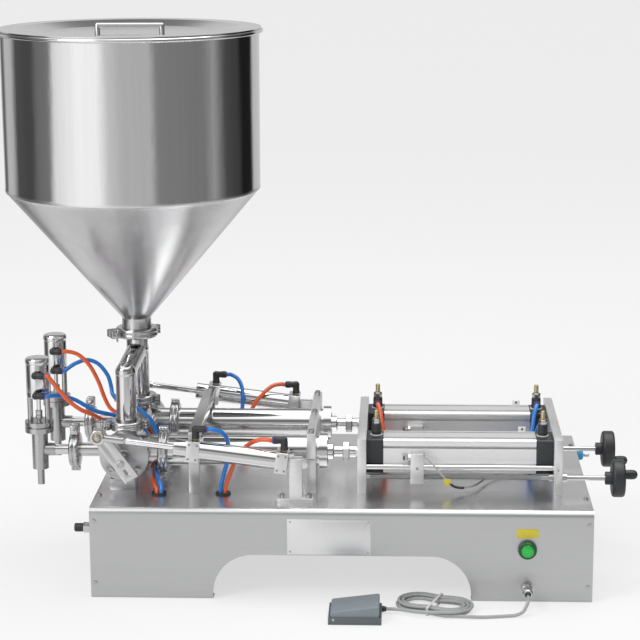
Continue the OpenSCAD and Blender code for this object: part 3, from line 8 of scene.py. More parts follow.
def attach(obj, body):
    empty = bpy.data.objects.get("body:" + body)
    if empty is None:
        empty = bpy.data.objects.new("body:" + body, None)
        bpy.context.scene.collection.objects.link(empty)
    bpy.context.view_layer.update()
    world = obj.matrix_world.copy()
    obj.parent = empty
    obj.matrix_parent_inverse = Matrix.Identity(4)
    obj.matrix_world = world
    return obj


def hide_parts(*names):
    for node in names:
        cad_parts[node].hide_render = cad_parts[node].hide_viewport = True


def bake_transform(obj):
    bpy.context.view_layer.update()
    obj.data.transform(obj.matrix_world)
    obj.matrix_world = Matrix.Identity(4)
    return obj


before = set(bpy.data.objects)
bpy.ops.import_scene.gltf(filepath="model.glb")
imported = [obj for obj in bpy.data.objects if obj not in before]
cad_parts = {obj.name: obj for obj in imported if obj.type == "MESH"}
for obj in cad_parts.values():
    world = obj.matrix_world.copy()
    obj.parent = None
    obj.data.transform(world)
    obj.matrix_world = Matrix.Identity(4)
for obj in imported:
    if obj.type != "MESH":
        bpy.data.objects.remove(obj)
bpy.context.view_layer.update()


# Camera
# It stands about 3.7 m in front of the machine and a little above the deck,
# and looks down on it by some twelve degrees, as the photographer did.
PITCH, YAW, ROLL = math.radians(12.52), math.radians(-2.42), math.radians(0.25)
ahead = Vector((math.sin(YAW)*math.cos(PITCH), math.cos(YAW)*math.cos(PITCH), -math.sin(PITCH)))
level = Vector((math.cos(YAW), -math.sin(YAW), 0))
upright = level.cross(ahead)
side = math.cos(ROLL)*level - math.sin(ROLL)*upright
top = math.sin(ROLL)*level + math.cos(ROLL)*upright
camera = bpy.data.objects.new("camera", bpy.data.cameras.new("camera"))
bpy.context.scene.collection.objects.link(camera)
camera.matrix_world = Matrix((side, top, -ahead)).transposed().to_4x4()
camera.location = (0.110, -3.6765, 1.276)
camera.data.lens = 113.3
camera.data.sensor_width = 36
camera.data.clip_end = 100
bpy.context.scene.camera = camera
bpy.context.scene.view_settings.view_transform = "Standard"


# Cord of the foot switch
# Grey round PVC cord, about 6 mm thick, from the socket on the front panel down to the bench,
# wound there in a hank of five loops held by a white tie, and on into the foot switch.
class Signal:
    """A node's output, so that maths on it is written as an expression."""
    def __init__(self, finish, socket):
        self.finish, self.socket = finish, socket

    def maths(self, operation, *values):
        return self.finish.node("ShaderNodeMath", {"operation": operation}, dict(enumerate(values)))

    def __add__(self, other):
        return self.maths("ADD", self, other)

    def __sub__(self, other):
        return self.maths("SUBTRACT", self, other)

    def __rsub__(self, other):
        return self.maths("SUBTRACT", other, self)

    def __mul__(self, other):
        return self.maths("MULTIPLY", self, other)

    def __truediv__(self, other):
        return self.maths("DIVIDE", self, other)

    __radd__, __rmul__ = __add__, __mul__

    def soft(self, low, high):
        """0 below low, 1 above high, smooth between."""
        return self.finish.node("ShaderNodeMapRange", {"interpolation_type": "SMOOTHSTEP"},
                                {0: self, 1: low, 2: high})


class Finish:
    """One material, or the world, built from nodes."""
    def __init__(self, name, tree=None, **constants):
        if tree is None:
            self.material = bpy.data.materials.new(name)
            self.material.use_nodes = True
            tree = self.material.node_tree
        self.tree = tree
        self.shader = tree.nodes.get("Principled BSDF")
        for socket, value in constants.items():
            self.shader.inputs[socket.replace("_", " ")].default_value = value

    def node(self, kind, settings={}, values={}, output=0):
        """A new node with its settings, its sockets' values or links, and the output that is read."""
        made = self.tree.nodes.new(kind)
        for name, value in settings.items():
            if name == "stops":
                ramp = made.color_ramp.elements
                while len(ramp) < len(value):
                    ramp.new(1)
                for stop, (place, colour) in zip(ramp, value):
                    stop.position, stop.color = place, (*colour, 1)
            else:
                setattr(made, name, value)
        for socket, value in values.items():
            self.fill(made.inputs[socket], value)
        return Signal(self, made.outputs[output])

    def fill(self, socket, value):
        if isinstance(value, Signal):
            self.tree.links.new(value.socket, socket)
        elif socket.type == "RGBA":
            socket.default_value = (*value, 1)
        else:
            socket.default_value = value

    def feed(self, **values):
        """Sets or links the shader's sockets, and gives the material."""
        for socket, value in values.items():
            self.fill(self.shader.inputs[socket.replace("_", " ")], value)
        return self.material

    def place(self):
        """The point itself, in metres from the machine's origin."""
        return self.node("ShaderNodeTexCoord", output="Object")

    def axes(self, kind="Object"):
        """The X, Y and Z of a place, one by one."""
        split = self.tree.nodes.new("ShaderNodeSeparateXYZ")
        self.fill(split.inputs[0], self.node("ShaderNodeTexCoord", output=kind))
        return [Signal(self, out) for out in split.outputs]

    def grain(self, scale, detail=2.0, roughness=0.5):
        """Noise from 0 to 1 whose cells are 1/scale metres long on each axis."""
        spot = self.node("ShaderNodeMapping", {}, {"Vector": self.place(), "Scale": scale})
        return self.node("ShaderNodeTexNoise", {}, {"Vector": spot, "Scale": 1.0, "Detail": detail,
                                                    "Roughness": roughness})

    def between(self, share, first, second):
        """The first colour where share is 0, the second where it is 1."""
        return self.node("ShaderNodeMix", {"data_type": "RGBA"}, {0: share, 6: first, 7: second}, output=2)

    def relief(self, height, depth):
        """A bumpy surface; depth is in metres."""
        return self.node("ShaderNodeBump", {}, {"Height": height, "Distance": depth, "Strength": 1.0})


def moulded(name, colour, roughness, tint=0.85, speck=0.00004, **constants):
    """Moulded plastic or rubber: a fine leathery surface with handling marks."""
    made = Finish(name, **constants)
    marks = made.grain((35, 35, 35), 5, 0.6)
    pores = made.grain((1600, 1600, 1600), 2)
    return made.feed(
        Base_Color=made.between(marks, colour, [tint*c for c in colour]),
        Roughness=roughness + 0.16*(marks - 0.5) + 0.06*pores,
        Normal=made.relief(pores, speck))


def smooth_line(points, steps):
    """The source's smooth curve through the given points, in metres."""
    p = [Vector(q)/1000 for q in points]
    line = []
    for i in range(len(p) - 1):
        a, b, c, d = p[max(i - 1, 0)], p[i], p[i + 1], p[min(i + 2, len(p) - 1)]
        for k in range(steps):
            t = k/steps
            line.append(0.5*(2*b + (c - a)*t + (2*a - 5*b + 4*c - d)*t*t + (3*b - a - 3*c + d)*t**3))
    return line + [p[-1]]


def tubes(name, lines, diameter):
    """One curve object with a round tube along each line."""
    curve = bpy.data.curves.new(name, "CURVE")
    curve.dimensions = "3D"
    curve.bevel_depth, curve.bevel_resolution, curve.use_fill_caps = diameter/2, 4, True
    curve.twist_mode = "MINIMUM"
    for line in lines:
        spline = curve.splines.new("POLY")
        spline.points.add(len(line) - 1)
        for point, place in zip(spline.points, line):
            point.co = (*place, 1)
        spline.use_smooth = True
    piece = bpy.data.objects.new(name, curve)
    bpy.context.scene.collection.objects.link(piece)
    return piece


def fit(piece, body, material, slot, *nodes):
    """Gives a new piece its finish, its body and the CAD nodes it stands for."""
    piece.data.materials.append(material)
    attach(piece, body)
    if nodes:
        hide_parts(*nodes)
    return piece


CORD_D = 6
lead_points = [
    (333, -300, 27), (333, -307, 27), (332, -316, 24), (328, -324, 17), (322, -329, 9),
    (310, -331, 4), (296, -333, 3.2), (280, -336, 3.2), (262, -339, 3.2), (244, -341, 3.6),
    (226, -341, 4.2), (205, -339, 4.2), (191.5, -338.6, 4.2)]
tail_points = [
    (179.1, -338.6, 10.8), (172, -338.6, 10.8), (160, -338, 10.6), (146, -335, 10), (132, -330, 9),
    (118, -324, 8.4), (104, -319, 8), (92, -317, 8), (83.2, -317, 8)]
HANK_X, HANK_Y, HANK_TILT = 168, -290, math.radians(-20)
HANK_TURNS, HANK_RINGS, HANK_START = 5, 24, -62
HANK_HALF_L, HANK_HALF_W, HANK_WAIST, WAIST_REACH = 70, 49, 13, 30
LOOP_STEP_L, LOOP_STEP_W, LOOP_RISE, TIE_ROOM = 7, 7.6, 6.6, 1.2


def hank_point(turn):
    """A point of the hank: it winds inwards on the bench, then outwards on top, and its waist is drawn in."""
    depth = min(turn, HANK_TURNS - turn)
    level = min(1, max(0, 2*(turn - HANK_TURNS/2) + 0.5))
    angle = math.radians(HANK_START - 360*turn)
    x = (HANK_HALF_L - LOOP_STEP_L*depth)*math.cos(angle)
    y = (HANK_HALF_W - LOOP_STEP_W*depth - HANK_WAIST*math.exp(-(x/WAIST_REACH)**2))*math.sin(angle)
    return (HANK_X + x*math.cos(HANK_TILT) - y*math.sin(HANK_TILT),
            HANK_Y + x*math.sin(HANK_TILT) + y*math.cos(HANK_TILT),
            CORD_D/2 + TIE_ROOM + LOOP_RISE*level)


hank = [hank_point(i/HANK_RINGS) for i in range(HANK_TURNS*HANK_RINGS + 1)]
route = smooth_line(lead_points + hank + tail_points, 3)
cord_length = sum((b - a).length for a, b in zip(route, route[1:]))
cord_grey = moulded("cord_grey_pvc", (0.46, 0.465, 0.47), 0.42, 0.8)
cord = fit(tubes("foot_switch_cord", [route], CORD_D/1000), "machine", cord_grey, "grey_cord",
           "cord_lead", "cord_hank", "cord_tail")


# Tie of the hank
# White moulded strap, 5 mm wide and 0.8 mm thick, drawn round the middle of the loops so that
# the hank stays together on the bench.
def mesh_piece(name, shape, smooth=30):
    """Turns a finished bmesh into a piece; edges sharper than smooth degrees stay crisp."""
    bmesh.ops.recalc_face_normals(shape, faces=shape.faces)
    mesh = bpy.data.meshes.new(name)
    shape.to_mesh(mesh)
    shape.free()
    mesh.polygons.foreach_set("use_smooth", [True]*len(mesh.polygons))
    mesh.set_sharp_from_angle(angle=math.radians(smooth))
    piece = bpy.data.objects.new(name, mesh)
    bpy.context.scene.collection.objects.link(piece)
    return piece


def build(name, shape, *details):
    """Makes a piece of a finished bmesh and fits it."""
    return fit(mesh_piece(name, shape), *details)


def add_block(shape, low, high, bevel, segments=2):
    """A block between two corners, in millimetres, with its edges rounded."""
    low, high = Vector(low)/1000, Vector(high)/1000
    place = Matrix.Translation((low + high)/2) @ Matrix.Diagonal((*(high - low), 1))
    made = bmesh.ops.create_cube(shape, size=1, matrix=place)
    edges = list({e for v in made["verts"] for e in v.link_edges})
    bmesh.ops.bevel(shape, geom=edges, offset=bevel/1000, affect="EDGES", segments=segments, profile=0.5,
                    material=-1)


tie = bmesh.new()
TIE_EDGE, TIE_THICK, TIE_SLACK = 2.5, 0.8, 0.4
TIE_HALF = HANK_HALF_W - HANK_WAIST + CORD_D/2 + TIE_SLACK
TIE_TOP = TIE_ROOM + CORD_D + LOOP_RISE + TIE_SLACK
TIE_OUTER = TIE_HALF + TIE_THICK
for low, high in (((-TIE_EDGE, -TIE_OUTER, 0), (TIE_EDGE, TIE_OUTER, TIE_THICK)),
                  ((-TIE_EDGE, -TIE_OUTER, TIE_TOP), (TIE_EDGE, TIE_OUTER, TIE_TOP + TIE_THICK)),
                  ((-TIE_EDGE, -TIE_OUTER, TIE_THICK), (TIE_EDGE, -TIE_HALF, TIE_TOP)),
                  ((-TIE_EDGE, TIE_HALF, TIE_THICK), (TIE_EDGE, TIE_OUTER, TIE_TOP))):
    add_block(tie, low, high, 0.15, 1)
tie_place = Matrix.Translation((HANK_X/1000, HANK_Y/1000, 0)) @ Matrix.Rotation(HANK_TILT, 4, "Z")
bmesh.ops.transform(tie, matrix=tie_place, verts=tie.verts)
tie_white = moulded("tie_white", (0.82, 0.82, 0.8), 0.5, 0.92)
cord_tie = build("cord_tie_strap", tie, "machine", tie_white, "white_tie", "cord_tie")


# Plug of the cord
# Round metal cable connector with a knurled coupling nut, screwed on the panel socket,
# and a ribbed sleeve that keeps the cord from kinking.
def eased(outline, radius):
    """Rounds the corners of a turned part's outline."""
    p = [Vector(q) for q in outline]
    if not radius:
        return p
    line = [p[0]]
    for a, b, c in zip(p, p[1:], p[2:]):
        r = min(radius, 0.45*(b - a).length, 0.45*(c - b).length)
        start, end = b + (a - b).normalized()*r, b + (c - b).normalized()*r
        line += [start, (start + 2*b + end)/4, end]
    return line + [p[-1]]


def aimed(place, direction=(1, 0, 0)):
    """Puts a part at a point in millimetres, with its own X axis along a direction."""
    turn = Vector(direction).to_track_quat("X", "Z").to_matrix().to_4x4()
    return Matrix.Translation(Vector(place)/1000) @ turn


def merge(shape, part, matrix):
    """Adds a finished part to a shape, in its place."""
    bmesh.ops.transform(part, matrix=matrix, verts=part.verts)
    mesh = bpy.data.meshes.new("part")
    part.to_mesh(mesh)
    part.free()
    shape.from_mesh(mesh)
    bpy.data.meshes.remove(mesh)


def add_turned(shape, outline, matrix, steps=40, radius=0.4):
    """A turned part: (distance along, radius) pairs in millimetres, spun about its X axis."""
    part = bmesh.new()
    points = [part.verts.new((x/1000, 0, r/1000)) for x, r in eased(outline, radius)]
    lines = [part.edges.new(pair) for pair in zip(points, points[1:])]
    bmesh.ops.spin(part, geom=points + lines, axis=(1, 0, 0), cent=(0, 0, 0), angle=2*math.pi, steps=steps,
                   use_merge=True)
    bmesh.ops.remove_doubles(part, verts=part.verts, dist=1e-7)
    bmesh.ops.recalc_face_normals(part, faces=part.faces)
    merge(shape, part, matrix)


def spun(*details):
    """A new shape that starts with one turned part."""
    shape = bmesh.new()
    add_turned(shape, *details)
    return shape


def disc(start, end, outer, inner=0):
    """The outline of a plain rod, disc or ring."""
    return [(start, inner), (start, outer), (end, outer), (end, inner)]


def polished(name, tone, rough, grain, line=0.06, depth=0.00001, smudge=0.06):
    """Metal with fine lines that run across the grain's long cells, and faint handling marks."""
    made = Finish(name, Metallic=1.0)
    lines = made.grain(grain, 3, 0.6)
    marks = made.grain((14, 14, 14), 4, 0.6)
    return made.feed(
        Base_Color=made.between(lines, [tone*(1 - line)]*3, [min(1, tone*(1 + line))]*3),
        Roughness=rough + smudge*marks + 0.5*line*(lines - 0.5),
        Normal=made.relief(lines, depth))


nickel = polished("nickel_plate", 0.56, 0.16, (300, 300, 300))
socket_axis = aimed((333, -259, 27), (0, -1, 0))
plug = spun([(0, 0), (0, 10.2), (10, 10.2), (10.4, 9.2), (11, 9.2), (11.4, 9.5), (29, 9.3), (32, 7.6),
             (32, 0)], socket_axis)
RIDGES = 30
for k in range(RIDGES):
    ridge = bmesh.new()
    add_block(ridge, (1.2, -0.45, 9.7), (8.8, 0.45, 10.45), 0.15, 1)
    merge(plug, ridge, socket_axis @ Matrix.Rotation(2*math.pi*k/RIDGES, 4, "X"))
build("cord_connector", plug, "machine", nickel, "polished_steel", "cord_plug")
sleeve_ribs = [(32.5 + 1.2*k, 5.6 - 0.28*k - 0.7*(k % 2)) for k in range(8)]
sleeve = spun([(31.8, 3.05), (31.8, 6)] + sleeve_ribs + [(41, 3.4), (41, 3.05)], socket_axis, 28, 0.2)
black_plastic = moulded("black_plastic", (0.022, 0.023, 0.025), 0.38, 1.5)
build("cord_sleeve", sleeve, "machine", black_plastic, "black_plastic")


# Floor and light
# A white bench top and a soft studio: a bright band overhead, grey walls with darker flags to the
# sides, which polished steel shows as the upright bands of the photograph.
floor = bmesh.new()
bmesh.ops.create_grid(floor, x_segments=1, y_segments=1, size=40)
floor = mesh_piece("floor", floor)
bench = Finish("bench_white", Roughness=0.9)
bench.shader.inputs["Specular IOR Level"].default_value = 0.1
wide_marks = bench.grain((0.8, 0.8, 0.8), 3)
bench.feed(Base_Color=bench.between(wide_marks, (0.93, 0.93, 0.93), (0.9, 0.9, 0.9)))
seen = bench.node("ShaderNodeLightPath")
seen_in_gloss = bench.node("ShaderNodeLightPath", output="Is Glossy Ray")
away = bench.node("ShaderNodeVectorMath", {"operation": "LENGTH"}, {0: bench.place()},
                  output="Value").soft(0.9, 1.7)
glow = bench.node("ShaderNodeEmission", {}, {"Color": (1, 1, 1), "Strength": 1.0}, output="Emission")
painted = Signal(bench, bench.shader.outputs[0])
near = bench.node("ShaderNodeMixShader", {}, {0: seen*0.62 + seen_in_gloss*0.35, 1: painted, 2: glow},
                  output="Shader")
through = bench.node("ShaderNodeBsdfTransparent", output="BSDF")
shown = bench.node("ShaderNodeMixShader", {}, {0: seen_in_gloss*away, 1: near, 2: through}, output="Shader")
bench.tree.links.new(shown.socket, bench.tree.nodes["Material Output"].inputs["Surface"])
floor.data.materials.append(bench.material)

world = bpy.data.worlds.new("studio")
bpy.context.scene.world = world
world.use_nodes = True
studio = Finish("studio", tree=world.node_tree)
east, north, height = studio.axes("Generated")
around = studio.node("ShaderNodeMath", {"operation": "ARCTAN2"}, {0: east, 1: 0 - north})/(2*math.pi) + 0.5
BANDS = [(-180, 0.65), (-158, 0.60), (-151, 0.12), (-146, 0.12), (-138, 0.62), (-124, 0.60), (-115, 0.10),
         (-92, 0.08), (-85, 0.20), (-70, 0.24), (-65, 1.0), (-55, 1.1), (-39, 1.3), (-23, 1.25), (-15, 0.80),
         (0, 0.60), (24, 0.60), (30, 0.28), (75, 0.24), (86, 0.42), (94, 0.20), (100, 0.09), (118, 0.06),
         (124, 0.015), (142, 0.015), (149, 0.65), (180, 0.65)]
stops = [((angle + 180)/360, [brightness]*3) for angle, brightness in BANDS]
walls = studio.node("ShaderNodeValToRGB", {"stops": stops}, {"Fac": around}, output="Color")
cornice = studio.between(height.soft(0.28, 0.42), walls, (0.22, 0.22, 0.22))
room = studio.between(height.soft(0.62, 0.80), cornice, (1.5, 1.5, 1.5))
is_camera = studio.node("ShaderNodeLightPath", output="Is Camera Ray")
is_gloss = studio.node("ShaderNodeLightPath", output="Is Glossy Ray")
shown = studio.between(is_camera, studio.between(is_gloss, (0.62, 0.62, 0.62), room), (1, 1, 1))
studio.fill(studio.tree.nodes["Background"].inputs["Color"], shown)


def lamp(name, place, aim, width, depth, power):
    """A softbox that points at a spot on the machine."""
    light = bpy.data.lights.new(name, "AREA")
    light.shape, light.size, light.size_y, light.energy = "RECTANGLE", width, depth, power
    holder = bpy.data.objects.new(name, light)
    bpy.context.scene.collection.objects.link(holder)
    holder.location = place
    holder.rotation_euler = (Vector(aim) - Vector(place)).to_track_quat("-Z", "Y").to_euler()


lamp("softbox_left", (-2.6, -2.4, 3.0), (-0.1, 0, 0.4), 1.8, 1.8, 60)
lamp("softbox_top", (0.5, 0.4, 3.6), (0, 0, 0.2), 2.4, 1.8, 36)


# Cabinet
# Folded sheet of stainless steel, 2 mm, brushed along its length on the front and near mirror-bright
# on the deck, with an arch cut in its lower edge. End panels are screwed into it. Its deck is also
# painted lighter than its front, as painted light.
sheet = Finish("brushed_sheet", Metallic=1.0)
height = sheet.axes()[2]
brushing = sheet.grain((5, 700, 700), 3, 0.65)
smears = sheet.grain((7, 3, 11), 4, 0.55)
# Painted light: from just below the top of the front bend upwards, the bend and the deck take a much lighter
# base colour than the front, as well as their real lower roughness.
deck = height.soft(0.1655, 0.1685)
steel_tone = sheet.between(deck, sheet.between(brushing, (0.48, 0.485, 0.49), (0.57, 0.57, 0.575)),
                          sheet.between(brushing, (0.76, 0.76, 0.765), (0.86, 0.86, 0.86)))
sheet.feed(Base_Color=sheet.between(smears*0.25, steel_tone, (0.54, 0.54, 0.55)),
           Roughness=(1 - deck)*(0.30 + 0.09*brushing) + deck*(0.21 + 0.05*smears) + 0.05*smears,
           Normal=sheet.relief(brushing, 0.000018))


def finish_node(node, finish):
    """Gives a CAD node its material."""
    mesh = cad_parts[node].data
    mesh.materials.clear()
    mesh.materials.append(finish)


def deburred(name, node, width, finish, body, slot, crisp=28):
    """A copy of a CAD node with its crisp edges rounded, as a deburred part's are."""
    shape = bmesh.new()
    shape.from_mesh(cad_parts[node].data)
    bmesh.ops.remove_doubles(shape, verts=shape.verts, dist=2e-6)
    bmesh.ops.dissolve_limit(shape, angle_limit=math.radians(0.5), verts=shape.verts, edges=shape.edges)
    edges = [e for e in shape.edges if len(e.link_faces) == 2 and e.calc_face_angle(0) > math.radians(crisp)]
    bmesh.ops.bevel(shape, geom=edges, offset=width/1000, affect="EDGES", segments=2, profile=0.5,
                    material=-1, clamp_overlap=True)
    bmesh.ops.triangulate(shape, faces=[f for f in shape.faces if len(f.verts) > 4])
    return build(name, shape, body, finish, slot, node)


finish_node("cabinet_shell", sheet.material)
finish_node("end_panels", sheet.material)
screw_steel = polished("screw_steel", 0.5, 0.26, (500, 500, 500))
finish_node("panel_screws", screw_steel)
rubber = moulded("black_rubber", (0.018, 0.018, 0.019), 0.5, 1.6)
finish_node("deck_grommets", rubber)


# Instruction plate
# A bare sheet of satin aluminium with a faint frame and a line down its middle, held flat on the
# front panel, above the arch, by four small rivets.
plate_steel = polished("plate_satin", 0.76, 0.36, (400, 400, 25), 0.04)
plate = bmesh.new()
PANEL_Y, PLATE_FACE, LINE_FACE = -255, -255.8, -256
add_block(plate, (-95, PLATE_FACE, 86), (54, PANEL_Y, 152), 0.3)
for x0, z0, x1, z1 in ((-91, 89.5, 50, 90.2), (-91, 147.8, 50, 148.5), (-91.7, 89.5, -91, 148.5),
                       (50, 89.5, 50.7, 148.5), (-20.8, 92, -20.2, 146)):
    add_block(plate, (x0, LINE_FACE, z0), (x1, PLATE_FACE + 0.1, z1), 0.08, 1)
build("instruction_sheet", plate, "machine", plate_steel, "white_plate", "instruction_plate")
rivets = bmesh.new()
for x, z in ((-90, 91), (49, 91), (-90, 147), (49, 147)):
    add_turned(rivets, [(0, 2), (0.5, 1.9), (0.9, 1.1), (1, 0)],
               aimed((x, PLATE_FACE, z), (0, -1, 0)), 20, 0.2)
build("plate_rivets", rivets, "machine", screw_steel, "screw_steel")


# Start button
# A 22 mm push button: dark green moulded rim with a glossy green lens, a bare yellow plate above it,
# and its nut and return spring behind the panel.
label_yellow = Finish("label_yellow")
fleck = label_yellow.grain((300, 300, 300), 3)
label_yellow.feed(Base_Color=label_yellow.between(fleck, (0.72, 0.62, 0.05), (0.60, 0.50, 0.03)),
                  Roughness=0.3 + 0.15*fleck, Normal=label_yellow.relief(fleck, 0.00003))
label = bmesh.new()
add_block(label, (313.5, PANEL_Y - 0.6, 120), (352.5, PANEL_Y, 137), 0.25)
build("yellow_plate", label, "machine", label_yellow.material, "yellow_label", "button_label")
rim_green = moulded("rim_green", (0.016, 0.10, 0.035), 0.28, 0.8)
BUTTON_X, BUTTON_Z = 333, 99
button_axis = aimed((BUTTON_X, PANEL_Y, BUTTON_Z), (0, -1, 0))
rim = spun([(0, 6.1), (0, 17), (6, 16.8), (9.5, 15.6), (12, 14.2), (12, 12.4), (3.4, 12.2), (2.4, 11),
            (2.4, 6.1), (0, 6.1)], button_axis, 64)
add_turned(rim, [(0.5, 11), (-40, 11), (-42, 10), (-42, 0)], button_axis, 40)
build("button_rim", rim, "machine", rim_green, "green_bezel", "button_housing")
fixings = spun([(-2, 11.1), (-2, 15), (-7, 15), (-7, 11.1), (-2, 11.1)], button_axis, 6)
build("button_nut", fixings, "machine", black_plastic, "black_plastic")
lens_green = Finish("lens_green", Coat_Weight=0.6)
# Painted glow: the lens's base colour is lighter towards the middle of its dome, and it emits faintly, though
# no lamp is modelled in it.
painted_glow_place = (BUTTON_X/1000, PANEL_Y/1000 - 0.015, BUTTON_Z/1000)
painted_glow = 1 - lens_green.node("ShaderNodeVectorMath", {"operation": "DISTANCE"},
                                  {0: lens_green.place(), 1: painted_glow_place}, output="Value")/0.02
lens_green.feed(Base_Color=lens_green.between(painted_glow.soft(0, 0.9), (0.0, 0.22, 0.02), (0.0, 0.50, 0.05)),
                Roughness=0.16 + 0.1*lens_green.grain((90, 90, 90)), Emission_Color=(0.0, 0.6, 0.05))
lens_green.shader.inputs["Emission Strength"].default_value = 0.03
lens = spun([(-25, 6), (6, 6), (6.3, 11.9), (12.2, 11.9), (13.6, 11.2), (14.6, 8.5), (15.1, 5), (15.3, 0)],
            button_axis, 64, 0.6)
build("button_lens", lens, "button", lens_green.material, "green_lens", "start_button")
finish_node("cable_socket", nickel)


# Air inlet
# Nickel-plated threaded connector through the left end panel, held by a nut on the inside, with a
# black push-in socket for the supply hose.
inlet_axis = aimed((-450, -150, 98), (-1, 0, 0))
inlet = spun([(0, 4), (0, 10.2), (27, 10.2), (28, 8.5), (28, 4)], inlet_axis, 6, 0.5)
add_turned(inlet, disc(-19, 0, 6.5, 3), inlet_axis, 24)
add_turned(inlet, disc(-7, -2.2, 10, 6.6), inlet_axis, 6)
build("inlet_body", inlet, "machine", nickel, "polished_steel")
inlet_cup = spun([(28, 4), (28, 7.9), (30, 8), (42.5, 8), (44, 7), (44, 4.1), (28, 4)], inlet_axis, 32, 0.6)
build("inlet_socket", inlet_cup, "machine", black_plastic, "black_plastic", "air_inlet")


# Upright plates of the frame
# Milled aluminium, 16 mm thick: the split saddle that clamps the material cylinders, and the two
# plates that carry the air cylinders. Their edges are deburred and their faces show the mill's marks.
milled = Finish("milled_aluminium", Metallic=1.0)
turns = milled.grain((60, 60, 900), 3, 0.6)
patches = milled.grain((16, 16, 16), 3)
milled.feed(Base_Color=milled.between(turns, (0.74, 0.74, 0.74), (0.86, 0.86, 0.855)),
            Roughness=0.30 + 0.10*turns + 0.08*patches, Normal=milled.relief(turns, 0.00002))
for node, width in (("cylinder_saddle", 0.7), ("saddle_cap", 0.7), ("drive_plates", 0.8),
                    ("swing_brackets", 0.5)):
    deburred(node + "_part", node, width, milled.material, "machine", "plate_aluminium")
satin = polished("satin_steel", 0.54, 0.26, (420, 420, 420))
deburred("bridge_strap", "cylinder_bridge", 0.8, satin, "machine", "satin_steel")
finish_node("frame_screws", screw_steel)


# Material cylinders and their pistons
# Polished stainless tubes with a ring at the open end; each piston is white plastic with two grooves
# for its seals, on a chromed rod that a coupling and a lock nut join to the air cylinder's rod.
tube_steel = polished("tube_polish", 0.68, 0.07, (9, 500, 500), 0.035, 0.000006, 0.05)
ring_steel = polished("turned_polish", 0.66, 0.09, (900, 12, 12), 0.05, 0.000008)
finish_node("cylinder_tubes", tube_steel)
finish_node("tube_end_rings", ring_steel)
chrome = polished("hard_chrome", 0.74, 0.045, (9, 900, 900), 0.02, 0.000003, 0.03)
piston_white = moulded("piston_plastic", (0.80, 0.80, 0.78), 0.42, 0.95)
LINE_Y, AXIS_Z = 96, 232
ROWS = ("front", -LINE_Y), ("rear", LINE_Y)
for row, row_y in ROWS:
    body = f"{row}_piston_body"
    line = aimed((0, row_y, AXIS_Z))
    cup = spun([(-65, 0), (-65, 23.4), (-64, 24.9), (-59, 24.9), (-59, 23.5), (-55, 23.5), (-55, 24.9),
                (-50.4, 24.9), (-50.4, 23.5), (-46.4, 23.5), (-46.4, 24.9), (-41, 24.9), (-40, 23.4),
                (-40, 0)], line, 64, 0.2)
    build(f"{row}_piston_cup", cup, body, piston_white, "piston_plastic")
    rod = spun([(-40, 10), (-40, 15), (-18, 15), (-16, 10), (0, 10)], line, 48)
    add_turned(rod, [(11.5, 9), (12, 11), (27.2, 11), (27.7, 10), (316, 10)], line, 48)
    build(f"{row}_piston_rod", rod, body, chrome, "polished_steel", f"{row}_piston")
    nut = spun([(0, 10), (0, 16.2), (1, 17.3), (11, 17.3), (12, 16.2), (12, 10)], line, 6, 0.3)
    build(f"{row}_lock_nut", nut, body, nickel, "satin_steel")
    inner_piston = spun(disc(320, 350, 24.9), line, 48)
    add_turned(inner_piston, [(315, 10), (321, 10)], line, 48)
    build(f"{row}_air_piston", inner_piston, body, black_plastic, "black_plastic")


# Rotary valves
# Polished stainless housings with round satin covers held by four screws; inside each, a rotor on a
# 16 mm shaft that carries a slotted steel lever, held by a nut.
def at(x, y, z):
    """Puts a part at a point in millimetres, unturned."""
    return Matrix.Translation((x/1000, y/1000, z/1000))


def loop(*points):
    """Points on an outline; a (y, z, radius, from, to) entry is an arc in degrees."""
    line = []
    for p in points:
        if len(p) == 2:
            line.append(p)
        else:
            y, z, r, start, end = p
            steps = max(4, round(abs(end - start)/12))
            angles = [math.radians(start + (end - start)*k/steps) for k in range(steps + 1)]
            line += [(y + r*math.cos(angle), z + r*math.sin(angle)) for angle in angles]
    return line


def add_plate(shape, loops, low, high, matrix, bevel=0.0):
    """A flat part with holes, its outlines in its own YZ plane and its thickness along X, in millimetres."""
    part = bmesh.new()
    rims = []
    for outline in loops:
        points = [part.verts.new((low/1000, y/1000, z/1000)) for y, z in outline]
        rims += [part.edges.new(pair) for pair in zip(points, points[1:] + points[:1])]
    bmesh.ops.triangle_fill(part, edges=rims, use_beauty=True)
    bmesh.ops.dissolve_limit(part, angle_limit=0.01, verts=part.verts, edges=part.edges)
    made = bmesh.ops.extrude_face_region(part, geom=part.faces[:])
    moved = [v for v in made["geom"] if isinstance(v, bmesh.types.BMVert)]
    bmesh.ops.translate(part, vec=((high - low)/1000, 0, 0), verts=moved)
    bmesh.ops.recalc_face_normals(part, faces=part.faces)
    if bevel:
        edges = [e for e in part.edges if len(e.link_faces) == 2 and e.calc_face_angle(0) > 0.7]
        bmesh.ops.bevel(part, geom=edges, offset=bevel/1000, affect="EDGES", segments=2, profile=0.5,
                        material=-1)
    merge(shape, part, matrix)


